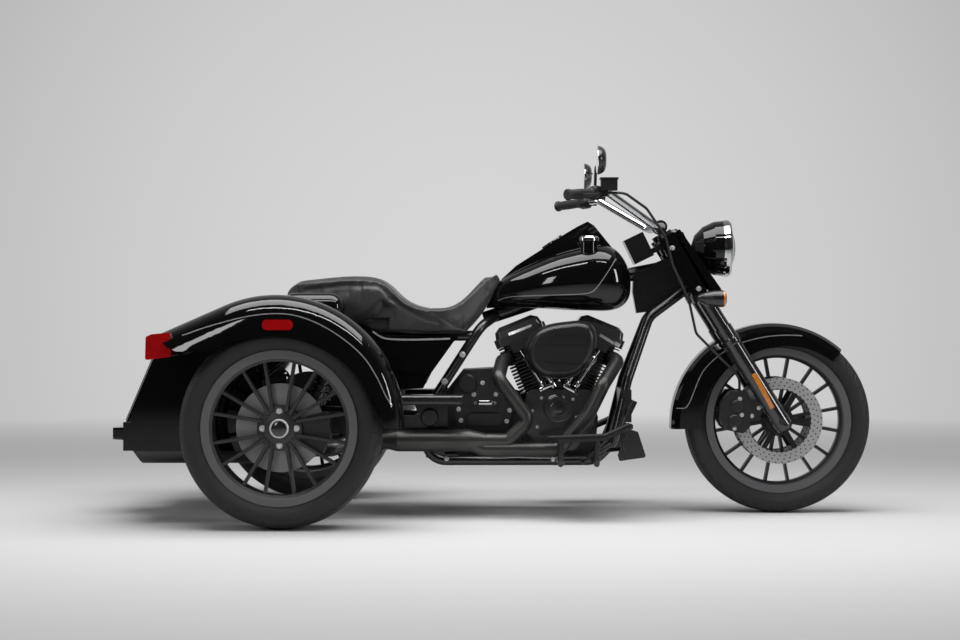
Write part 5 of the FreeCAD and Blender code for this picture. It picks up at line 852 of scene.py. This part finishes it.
def set_world(context):
    """Light the scene softly from all round and show a pale backdrop."""
    world = context.scene.world or bpy.data.worlds.new("Studio")
    context.scene.world = world
    world.use_nodes = True
    tree = world.node_tree
    tree.nodes.clear()
    place = add_node(tree, "TexCoord")["Generated"]
    seen = add_node(tree, "Background", {"Color": studio_level(tree, place)})[0]
    soft = add_node(tree, "Background", {"Color": WORLD_GREY})[0]
    mixed = mix_shader(tree, seen_rays(tree), soft, seen)
    add_node(tree, "OutputWorld", {"Surface": mixed})


class TRIKE_OT_finishes(bpy.types.Operator):
    """Give every CAD node its finish"""
    bl_idname = "trike.finishes"
    bl_label = "Finishes"

    def execute(self, context):
        build_finishes()
        slots = {part["node"]: part["material_slot"] for part in frame["record"]["subparts"]}
        for name, node in frame["nodes"].items():
            for slot in node.material_slots:
                slot.material = MATERIALS[NODE_FINISHES.get(name, slots[name])]
        return {"FINISHED"}


# Saddle: cells of its remeshed skin, frames of the simulation, radius of the piping, then the
# seams as (x, z) in metres seen from the side, and each channel's depth and spread
SADDLE_CELL = 0.0065
CLOTH_FRAMES = 20
PIPING_RADIUS = 0.0016
NOSE_SEAM = ((-0.206, 0.69), (-0.165, 0.6667), (-0.1241, 0.6403), (-0.096, 0.634))
EDGE_SEAM = ((-0.64, 0.766), (-0.5998, 0.7707), (-0.497, 0.7839), (-0.4155, 0.7812),
             (-0.38, 0.775), (-0.3640, 0.7610), (-0.3460, 0.7385), (-0.3150, 0.7130),
             (-0.2740, 0.6900), (-0.23, 0.672), (-0.19, 0.66))
CROSS_SEAM = -0.213
CROSS_BOW = 0.25
SEAM_FACING = 0.25
SEAM_REACH = 3
SEAM_CHANNEL = (0.003, 0.005)
EDGE_CHANNEL = (0.0035, 0.009)


class TRIKE_OT_saddle(bpy.types.Operator):
    """Pad the saddle and sew its cover"""
    bl_idname = "trike.saddle"
    bl_label = "Saddle"

    def execute(self, context):
        pad = padded_copy("seat", SADDLE_CELL)
        for seam, channel in ((NOSE_SEAM, SEAM_CHANNEL), (EDGE_SEAM, EDGE_CHANNEL)):
            sew(pad, channel, lambda normal: abs(normal.y),
                lambda place: seam_distance(Vector((place.x, place.z)), seam))
        sew(pad, SEAM_CHANNEL, lambda normal: normal.z,
            lambda place: place.x - (CROSS_SEAM - CROSS_BOW * place.y ** 2))
        pad.data.update()
        cords = joined([piping(pad, NOSE_SEAM, PIPING_RADIUS, side) for side in (-1, 1)])
        finish_piece(cords, "saddle_piping", "chassis", "seat_vinyl")
        pad = finish_piece(pad, "saddle_cover", "chassis", "seat_vinyl")
        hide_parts("seat")
        return {"FINISHED"}


def seam_distance(spot, line):
    """Give the distance from a spot to a line of (x, z) points."""
    nearest = 1.0
    for start, end in zip(line, line[1:]):
        first, last = Vector(start), Vector(end)
        along = last - first
        share = min(max((spot - first).dot(along) / along.length_squared, 0), 1)
        nearest = min(nearest, (spot - first - along * share).length)
    return nearest


def sew(pad, channel, facing_of, distance_of):
    """Draw a sewn channel of a depth and spread into the part of a pad that faces a way."""
    depth, spread = channel
    moves = {}
    for vertex in pad.data.vertices:
        facing = facing_of(vertex.normal)
        if facing > SEAM_FACING:
            away = distance_of(vertex.co) / spread
            if abs(away) < SEAM_REACH:
                moves[vertex.index] = vertex.normal * depth * facing * math.exp(-away * away)
    for index, move in moves.items():
        pad.data.vertices[index].co -= move


def piping(pad, line, radius, side):
    """Lay a thin cord of piping on a pad's side along a seam."""
    route = [on_side(pad, spot, side)[0] for spot in line]
    return tube(route, radius, 3)


def padded_copy(node, cell):
    """Copy a soft CAD solid, remesh it and fill it by a short cloth simulation."""
    pad = bpy.data.objects.new(node + "_pad", frame["nodes"][node].data.copy())
    bpy.context.collection.objects.link(pad)
    opened(pad)
    bpy.ops.mesh.remove_doubles(threshold=0.0001)
    shut()
    pad.data.remesh_voxel_size = cell
    bpy.ops.object.voxel_remesh()
    fill_with_cloth(pad)
    finer = pad.modifiers.new("Finer", "SUBSURF")
    finer.levels = finer.render_levels = 1
    apply_modifiers(pad)
    bpy.ops.object.shade_smooth()
    return pad


def fill_with_cloth(pad):
    """Swell a mesh under pressure with a capped movement."""
    chosen = settings()
    before = [vertex.co.copy() for vertex in pad.data.vertices]
    cloth = pad.modifiers.new("Fill", "CLOTH")
    cloth.settings.use_pressure = True
    cloth.settings.uniform_pressure_force = chosen.puff
    cloth.settings.effector_weights.gravity = 0
    cloth.point_cache.frame_start = 1
    cloth.point_cache.frame_end = CLOTH_FRAMES
    for step in range(1, CLOTH_FRAMES + 1):
        bpy.context.scene.frame_set(step)
    apply_modifiers(pad)
    bpy.context.scene.frame_set(1)
    for vertex, start in zip(pad.data.vertices, before):
        move = vertex.co - start
        if move.length > chosen.swell:
            vertex.co = start + move.normalized() * chosen.swell


# Lines painted on the bodywork, as (x, z) in metres seen from the side
FENDER_LINE = ((-0.985, 0.6215), (-0.962, 0.628), (-0.926, 0.642), (-0.86, 0.6617),
               (-0.775, 0.6834), (-0.6854, 0.6926), (-0.6096, 0.6831), (-0.5133, 0.6397),
               (-0.417, 0.5651), (-0.3689, 0.4906), (-0.3379, 0.418), (-0.322, 0.4))
TANK_LINE = ((0.418, 0.874), (0.3895, 0.8285), (0.3498, 0.7724), (0.3301, 0.7568),
             (0.291, 0.7531), (0.1586, 0.749), (0.0384, 0.7453), (0.018, 0.731))
FRONT_FENDER_LINE = ((0.63, 0.362), (0.6576, 0.3598), (0.67, 0.374), (0.6816, 0.4009),
                     (0.7124, 0.4798), (0.7364, 0.5106), (0.7913, 0.5586), (0.8599, 0.5929),
                     (0.9833, 0.6169), (1.06, 0.611))
# A satin strip along the side covers' top edge: trim that also paints the edge's highlight
SIDE_TRIM_HIGHLIGHT = ((-0.406, 0.6275), (-0.3786, 0.6065), (-0.3439, 0.6005), (-0.2396, 0.5995),
             (-0.145, 0.6035))
STRIPES = (("fender_pinstripes", "rear_fenders", FENDER_LINE, "chassis"),
           ("tank_pinstripes", "fuel_tank", TANK_LINE, "chassis"),
           ("front_fender_pinstripes", "front_fender", FRONT_FENDER_LINE, "steering"))
SIDE_TRIM_WIDTH = 0.006
SIDE_TRIM_BODY = 0.002


class TRIKE_OT_pinstripes(bpy.types.Operator):
    """Lay the thin lines on the tank and fenders, and the side covers' trim strip that paints
    their edge's highlight
    """
    bl_idname = "trike.pinstripes"
    bl_label = "Pinstripes"

    def execute(self, context):
        width = settings().stripe_width
        for name, node, spots, body in STRIPES:
            lines = joined([ribbon(node, spots, width, side) for side in (-1, 1)])
            finish_piece(lines, name, body, "body_gloss", "stripe")
        # The side covers' satin trim strip paints the highlight along their top edge
        trim = joined([ribbon("side_covers", SIDE_TRIM_HIGHLIGHT, SIDE_TRIM_WIDTH, side, 0.0,
                              SIDE_TRIM_BODY) for side in (-1, 1)])
        finish_piece(trim, "side_cover_trim_highlight", "chassis", "chrome", "satin_metal")
        return {"FINISHED"}


# Screws by node, as (x, z) in metres seen from the side, each row with its width
GEARBOX_SCREWS = ((-0.0662, 0.4108), (0.0095, 0.4108), (-0.1182, 0.3602), (0.0556, 0.3562),
                  (-0.1103, 0.3224), (0.0463, 0.3193), (-0.0359, 0.4504))
COVER_SCREWS = ((0.1357, 0.3551), (0.165, 0.3991), (0.2837, 0.3339), (0.272, 0.395),
                (0.15, 0.30), (0.29, 0.288))
FRAME_BOLTS = ((-0.1046, 0.5477), (-0.1654, 0.4562))
FOOT_BOLTS = ((0.2029, 0.1926), (-0.1584, 0.1942))
CALIPER_BOLTS = ((0.8428, 0.3953), (0.8496, 0.3407), (0.9081, 0.3644), (0.8242, 0.2946),
                 (0.8842, 0.3371))
FORK_BOLTS = ((0.6075, 0.9097), (0.6973, 0.7714))
SCREW_ROWS = (("gearbox", GEARBOX_SCREWS, 0.016), ("cam_cover", COVER_SCREWS, 0.011))
BOLT_ROWS = (("frame", FRAME_BOLTS, 0.022), ("frame", FOOT_BOLTS, 0.016))
FORK_ROWS = (("front_calipers", CALIPER_BOLTS, 0.015), ("fork_covers", FORK_BOLTS, 0.018))
PRIMARY_SCREWS = 14
PRIMARY_WIDTH = 0.014
PRIMARY_INSET = 0.013


class TRIKE_OT_fasteners(bpy.types.Operator):
    """Set the screws and bolts that show on the engine, brakes and fork"""
    bl_idname = "trike.fasteners"
    bl_label = "Fasteners"

    def execute(self, context):
        screw, bolt = cap_screw(), hex_bolt()
        bright = rows_of(screw, SCREW_ROWS) + rows_of(bolt, BOLT_ROWS) + primary_screws(screw)
        finish_piece(joined(bright), "engine_screws", "chassis", "chrome", "bolt_zinc")
        brakes = both_sides(rows_of(bolt, FORK_ROWS))
        finish_piece(joined(brakes), "fork_bolts", "steering", "chrome", "bolt_zinc")
        drop(screw, bolt)
        return {"FINISHED"}


def rows_of(model, rows):
    """Set screws in rows of node, spots and width."""
    return [piece for row in rows for piece in screws(model, *row)]


def primary_screws(screw):
    """Set the row of screws round the belt drive cover on the left side."""
    low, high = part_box("primary_cover")
    middle = (low + high) / 2
    spots = []
    for step in range(PRIMARY_SCREWS):
        out = around(360 * step / PRIMARY_SCREWS)
        point = touch("primary_cover", middle + out * 0.5, -out)[0] - out * PRIMARY_INSET
        spots.append((point.x, point.z))
    return screws(screw, "primary_cover", spots, PRIMARY_WIDTH, 1)


# Engine trim: bright strips on the rocker boxes' machined lower edges, painted brighter as their
# highlights, as (x, z) lines with their width, tappet clamps as (x, z, lean in degrees), the
# timing cap and the gearbox bar
ROCKER_HIGHLIGHT_STRIPS = ((((0.053, 0.6148), (0.092, 0.630), (0.1322, 0.6452)), 0.010),
                 (((0.366, 0.614), (0.39, 0.599), (0.4132, 0.5845)), 0.010),
                 (((0.4165, 0.5862), (0.425, 0.581), (0.433, 0.5762)), 0.013))
CLAMPS = ((0.1825, 0.4375, -25), (0.2645, 0.4295, 33))
CLAMP_Y = -0.1175
CLAMP_SCREW_Y = -0.1225
CLAMP_SIZE = (0.056, 0.014, 0.015)
CLAMP_REACH = 0.019
CLAMP_SCREW = 0.011
TIMING_SPOT = (0.2218, 0.3602)
TIMING_STEPS = ((0.046, -0.002), (0.046, 0.004), (0.0445, 0.0055), (0.040, 0.0055),
                (0.039, 0.0035), (0.030, 0.0035), (0.029, 0.007), (0.027, 0.008),
                (0.022, 0.008), (0.021, 0.0065), (0.012, 0.0085), (0.001, 0.009))
BAR_SPOT = (-0.027, 0.383)
BAR_SIZE = (0.05, 0.014, 0.017)
BAR_REACH = 0.033
BAR_SCREW = 0.014


class TRIKE_OT_engine_trim(bpy.types.Operator):
    """Add the engine's trim: rocker strips painted as highlights, tappet clamps, timing cap and
    gearbox bar
    """
    bl_idname = "trike.engine_trim"
    bl_label = "Engine Trim"

    def execute(self, context):
        # Bright satin strips on the rocker boxes' machined lower edges: painted highlights
        strips = [ribbon("rocker_boxes", row, width, -1, 0.0, 0.001)
                  for row, width in ROCKER_HIGHLIGHT_STRIPS]
        finish_piece(joined(strips), "rocker_highlight_strips", "chassis", "chrome", "satin_metal")
        finish_piece(tappet_clamps(), "tappet_clamps", "chassis", "chrome")
        cap = stand(turned(64, TIMING_STEPS, 30), on_side("cam_cover", TIMING_SPOT)[0], (0, -1, 0))
        finish_piece(cap, "timing_cap", "chassis", "engine_satin")
        finish_piece(gearbox_bar(), "gearbox_bar", "chassis", "chrome")
        return {"FINISHED"}


def tappet_clamps():
    """Build the two bright clamps at the feet of the pushrod tubes."""
    screw = cap_screw()
    made = []
    for x, z, lean in CLAMPS:
        tilt = Matrix.Rotation(math.radians(lean), 4, "Y")
        made.append(block(CLAMP_SIZE, 0.003))
        made[-1].data.transform(Matrix.Translation((x, CLAMP_Y, z)) @ tilt)
        seat = Vector((x, CLAMP_SCREW_Y, z))
        made += [placed(screw, seat + around(-lean, reach), (0, -1, 0), CLAMP_SCREW)
                 for reach in (-CLAMP_REACH, CLAMP_REACH)]
    drop(screw)
    return joined(made)


def gearbox_bar():
    """Build the bright bar across the gearbox lid, with its two end screws."""
    screw = cap_screw()
    made = [stand(block(BAR_SIZE, 0.004, 3), on_side("gearbox", BAR_SPOT)[0])]
    made += [placed(screw, on_side("gearbox", (BAR_SPOT[0] + reach, BAR_SPOT[1]))[0],
                    (0, -1, 0), BAR_SCREW) for reach in (-BAR_REACH, BAR_REACH)]
    drop(screw)
    return joined(made)


# Wheel trim: radii of the bolt circles and widths of the bolts, the valves' places along Y and
# angles round the axle, the radius from which the rim is looked for, then the turned parts
LUG_CIRCLE = 0.054
LUG_WIDTH = 0.021
DISC_CIRCLE = 0.032
DISC_BOLT_WIDTH = 0.011
REAR_VALVE_Y = 0.575
REAR_VALVE_ANGLE = 112
FRONT_VALVE_Y = -0.018
FRONT_VALVE_ANGLE = 101
RIM_START = 0.15
HUB_RING_STEPS = ((0.031, -0.0075), (0.031, 0.002), (0.029, 0.0038), (0.0255, 0.0038),
                  (0.0248, 0.001), (0.001, 0.001))
HUB_CAP_STEPS = ((0.0244, 0.0), (0.0244, 0.0016), (0.0225, 0.0028), (0.012, 0.004),
                 (0.001, 0.0044))
VALVE_STEPS = ((0.004, -0.002), (0.005, 0.006), (0.0038, 0.01), (0.0036, 0.022),
               (0.0048, 0.024), (0.0048, 0.032), (0.004, 0.035), (0.001, 0.0352))


class TRIKE_OT_wheel_trim(bpy.types.Operator):
    """Add lug bolts, hub caps and valves to the wheels"""
    bl_idname = "trike.wheel_trim"
    bl_label = "Wheel Trim"

    def execute(self, context):
        bolt = hex_bolt()
        for side, body in ((-1, "rear_wheel_right"), (1, "rear_wheel_left")):
            out = (0, side, 0)
            lugs = [placed(bolt, on_circle(body, REAR_AXLE, LUG_CIRCLE, 90 * step, side), out,
                           LUG_WIDTH, step) for step in range(4)]
            finish_piece(joined(lugs), body + "_lugs", body, "chrome", "bolt_zinc")
            hub = on_side(body, (REAR_AXLE.x, REAR_AXLE.z), side)[0]
            ring = stand(turned(48, HUB_RING_STEPS, 30), hub, out)
            finish_piece(ring, body + "_hub_ring", body, "chrome", "bolt_zinc")
            cap = stand(turned(48, HUB_CAP_STEPS, 40), hub, out)
            finish_piece(cap, body + "_hub_cap", body, "black_paint", "bar_black")
            stem = valve(body, REAR_AXLE, side * REAR_VALVE_Y, REAR_VALVE_ANGLE)
            finish_piece(stem, body + "_valve", body, "hose_rubber")
        bolts = [placed(bolt, on_circle("front_wheel", FRONT_AXLE, DISC_CIRCLE, 72 * step + 20,
                                        side), (0, side, 0), DISC_BOLT_WIDTH)
                 for side in (-1, 1) for step in range(5)]
        finish_piece(joined(bolts), "front_disc_bolts", "front_wheel", "chrome", "bolt_zinc")
        stem = valve("front_wheel", FRONT_AXLE, FRONT_VALVE_Y, FRONT_VALVE_ANGLE)
        finish_piece(stem, "front_valve", "front_wheel", "hose_rubber")
        drop(bolt)
        return {"FINISHED"}


def on_circle(node, axle, radius, degrees, side):
    """Find a wheel's surface at an angle round its axle."""
    place = axle + around(degrees, radius)
    return on_side(node, (place.x, place.z), side)[0]


def valve(node, axle, y, degrees):
    """Build a tyre valve that stands inward from the rim at an angle round the axle."""
    out = around(degrees)
    point = touch(node, Vector((axle.x, y, axle.z)) + out * RIM_START, out)[0]
    return stand(turned(14, VALVE_STEPS), point, -out)


# Lamps and dial: the headlamp's parts about its axis, the fork reflectors and the dial
LAMP_BACK = (0.7935, 0, 0.912)
GLASS_STEPS = ((0.001, 0.0425), (0.03, 0.0399), (0.06, 0.0313), (0.0785, 0.0225),
               (0.0825, 0.0205), (0.0825, 0.001), (0.0854, 0.001), (0.0854, 0.0224),
               (0.08, 0.0249), (0.07, 0.0301), (0.06, 0.034), (0.045, 0.0389), (0.03, 0.0427),
               (0.015, 0.0448), (0.001, 0.0453))
BOWL_STEPS = ((0.001, 0.0006), (0.0815, 0.0006), (0.0815, 0.0195), (0.079, 0.0195),
              (0.07, 0.0145), (0.055, 0.0095), (0.04, 0.006), (0.022, 0.0035), (0.001, 0.003))
SHIELD_STEPS = ((0.016, 0.002), (0.0155, 0.012), (0.0135, 0.0155), (0.009, 0.0175),
                (0.001, 0.018))
REFLECTOR_SIZE = (0.135, 0.004, 0.016)
REFLECTOR_PLACE = (0.9175, -0.1445, 0.424)
REFLECTOR_LEAN = math.radians(61.4)
DIAL_X = 0.205
DIAL_MARKS = 17
DIAL_FIRST = -120
DIAL_STEP = 15
MARK_SIZE = (0.0012, 0.0046, 0.0005)
MARK_PLACE = (0, 0.0305, 0.0029)
NEEDLE_TURN = 118
NEEDLE_PLACE = (0, 0.011, 0.0036)
NEEDLE_STRETCH = (1.3, 5.0, 2.0, 1)
BEZEL_STEPS = ((0.0405, -0.004), (0.0405, 0.004), (0.039, 0.0058), (0.0368, 0.0058),
               (0.0352, 0.0028), (0.001, 0.0028))


class TRIKE_OT_lamps(bpy.types.Operator):
    """Fit the headlamp's glass and reflector, the fork reflectors and the dial"""
    bl_idname = "trike.lamps"
    bl_label = "Lamps and Dial"

    def execute(self, context):
        glass = lamp_part(GLASS_STEPS)
        finish_piece(glass, "headlamp_glass", "steering", "clear_lens")
        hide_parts("headlamp_lens")
        finish_piece(lamp_part(BOWL_STEPS), "headlamp_reflector", "steering", "chrome", "mirror")
        finish_piece(
            lamp_part(SHIELD_STEPS), "headlamp_shield", "steering", "chrome", "satin_metal")
        strip = block(REFLECTOR_SIZE, 0.0018)
        strip.data.transform(
            Matrix.Translation(REFLECTOR_PLACE) @ Matrix.Rotation(REFLECTOR_LEAN, 4, "Y"))
        finish_piece(joined(both_sides([strip])), "fork_reflectors", "steering", "amber_lens")
        build_dial()
        return {"FINISHED"}


def lamp_part(steps):
    """Turn a part of the headlamp about its axis, which points forward."""
    return stand(turned(64, steps, 40), LAMP_BACK, (1, 0, 0))


def build_dial():
    """Build the round dial on the console: a bezel with its face, and the marks and needle."""
    place, normal = touch("tank_console", (DIAL_X, 0, 2), (0, 0, -1))
    finish_piece(stand(turned(64, BEZEL_STEPS, 40), place, normal), "dial_bezel", "chassis",
                 "black_paint", "bar_black")
    right = Vector((0, -1, 0))
    basis = Matrix((right, normal.cross(right), normal)).transposed().to_4x4()
    face = Matrix.Translation(place) @ basis
    mark = block(MARK_SIZE, 0.0002, 1)
    marks = []
    for step in range(DIAL_MARKS):
        turn = Matrix.Rotation(-math.radians(DIAL_FIRST + step * DIAL_STEP), 4, "Z")
        marks.append(copied(mark))
        marks[-1].data.transform(face @ turn @ Matrix.Translation(MARK_PLACE))
    turn = Matrix.Rotation(math.radians(NEEDLE_TURN), 4, "Z")
    stretch = Matrix.Translation(NEEDLE_PLACE) @ Matrix.Diagonal(NEEDLE_STRETCH)
    mark.data.transform(face @ turn @ stretch)
    finish_piece(joined(marks + [mark]), "dial_marks", "chassis", "chrome", "dial_white")


# Body trim: the shoulders beside the saddle, and the lock on the trunk door
SHOULDER_SIZE = (0.21, 0.17, 0.102)
SHOULDER_EDGE = 0.048
SHOULDER_PLACE = (-0.598, -0.31, 0.706)
LOCK_START = (-3, 0, 0.395)
# A thin black bar on the lock's face paints the shade of its keyway
KEY_SLOT_SHADE_SIZE = (0.0018, 0.0078, 0.0012)
KEY_LIFT = 0.0034
LOCK_STEPS = ((0.016, -0.002), (0.016, 0.003), (0.0148, 0.0042), (0.0115, 0.0042),
              (0.0108, 0.0026), (0.0085, 0.0026), (0.0082, 0.0036), (0.001, 0.0036))


class TRIKE_OT_body_trim(bpy.types.Operator):
    """Add the shoulders beside the saddle and the trunk lock"""
    bl_idname = "trike.body_trim"
    bl_label = "Body Trim"

    def execute(self, context):
        shoulder = stand(block(SHOULDER_SIZE, SHOULDER_EDGE, 8), SHOULDER_PLACE)
        finish_piece(joined(both_sides([shoulder])), "trunk_shoulders", "chassis", "body_gloss")
        place, normal = touch("trunk_door", LOCK_START, (1, 0, 0))
        barrel = stand(turned(32, LOCK_STEPS, 30), place, normal)
        finish_piece(barrel, "trunk_lock", "trunk_door", "chrome")
        # Painted shade: a black bar on the lock's face stands in for the keyway
        key = stand(block(KEY_SLOT_SHADE_SIZE, 0.0004, 1), place + normal * KEY_LIFT, normal)
        finish_piece(key, "trunk_key_slot_shade", "trunk_door", "black_paint", "bar_black")
        return {"FINISHED"}


class TRIKE_PT_panel(bpy.types.Panel):
    """The trike's settings and build steps"""
    bl_idname = "TRIKE_PT_panel"
    bl_label = "Trike"
    bl_space_type = "VIEW_3D"
    bl_region_type = "UI"
    bl_category = "Trike"

    def draw(self, context):
        chosen = context.scene.trike
        for name in TrikeSettings.__annotations__:
            self.layout.prop(chosen, name)
        for step in STEPS:
            self.layout.operator(step.bl_idname)


STEPS = (TRIKE_OT_stage, TRIKE_OT_finishes, TRIKE_OT_saddle, TRIKE_OT_pinstripes,
         TRIKE_OT_fasteners, TRIKE_OT_engine_trim, TRIKE_OT_wheel_trim, TRIKE_OT_lamps,
         TRIKE_OT_body_trim)


def register():
    """Register the settings, the steps and the panel."""
    for kind in (TrikeSettings, *STEPS, TRIKE_PT_panel):
        bpy.utils.register_class(kind)
    bpy.types.Scene.trike = PointerProperty(type=TrikeSettings)


def unregister():
    """Undo register."""
    del bpy.types.Scene.trike
    for kind in reversed((TrikeSettings, *STEPS, TRIKE_PT_panel)):
        bpy.utils.unregister_class(kind)


def main():
    """Build the whole dressing in order."""
    register()
    for step in STEPS:
        space, _, call = step.bl_idname.partition(".")
        getattr(getattr(bpy.ops, space), call)()


if __name__ == "__main__":
    main()
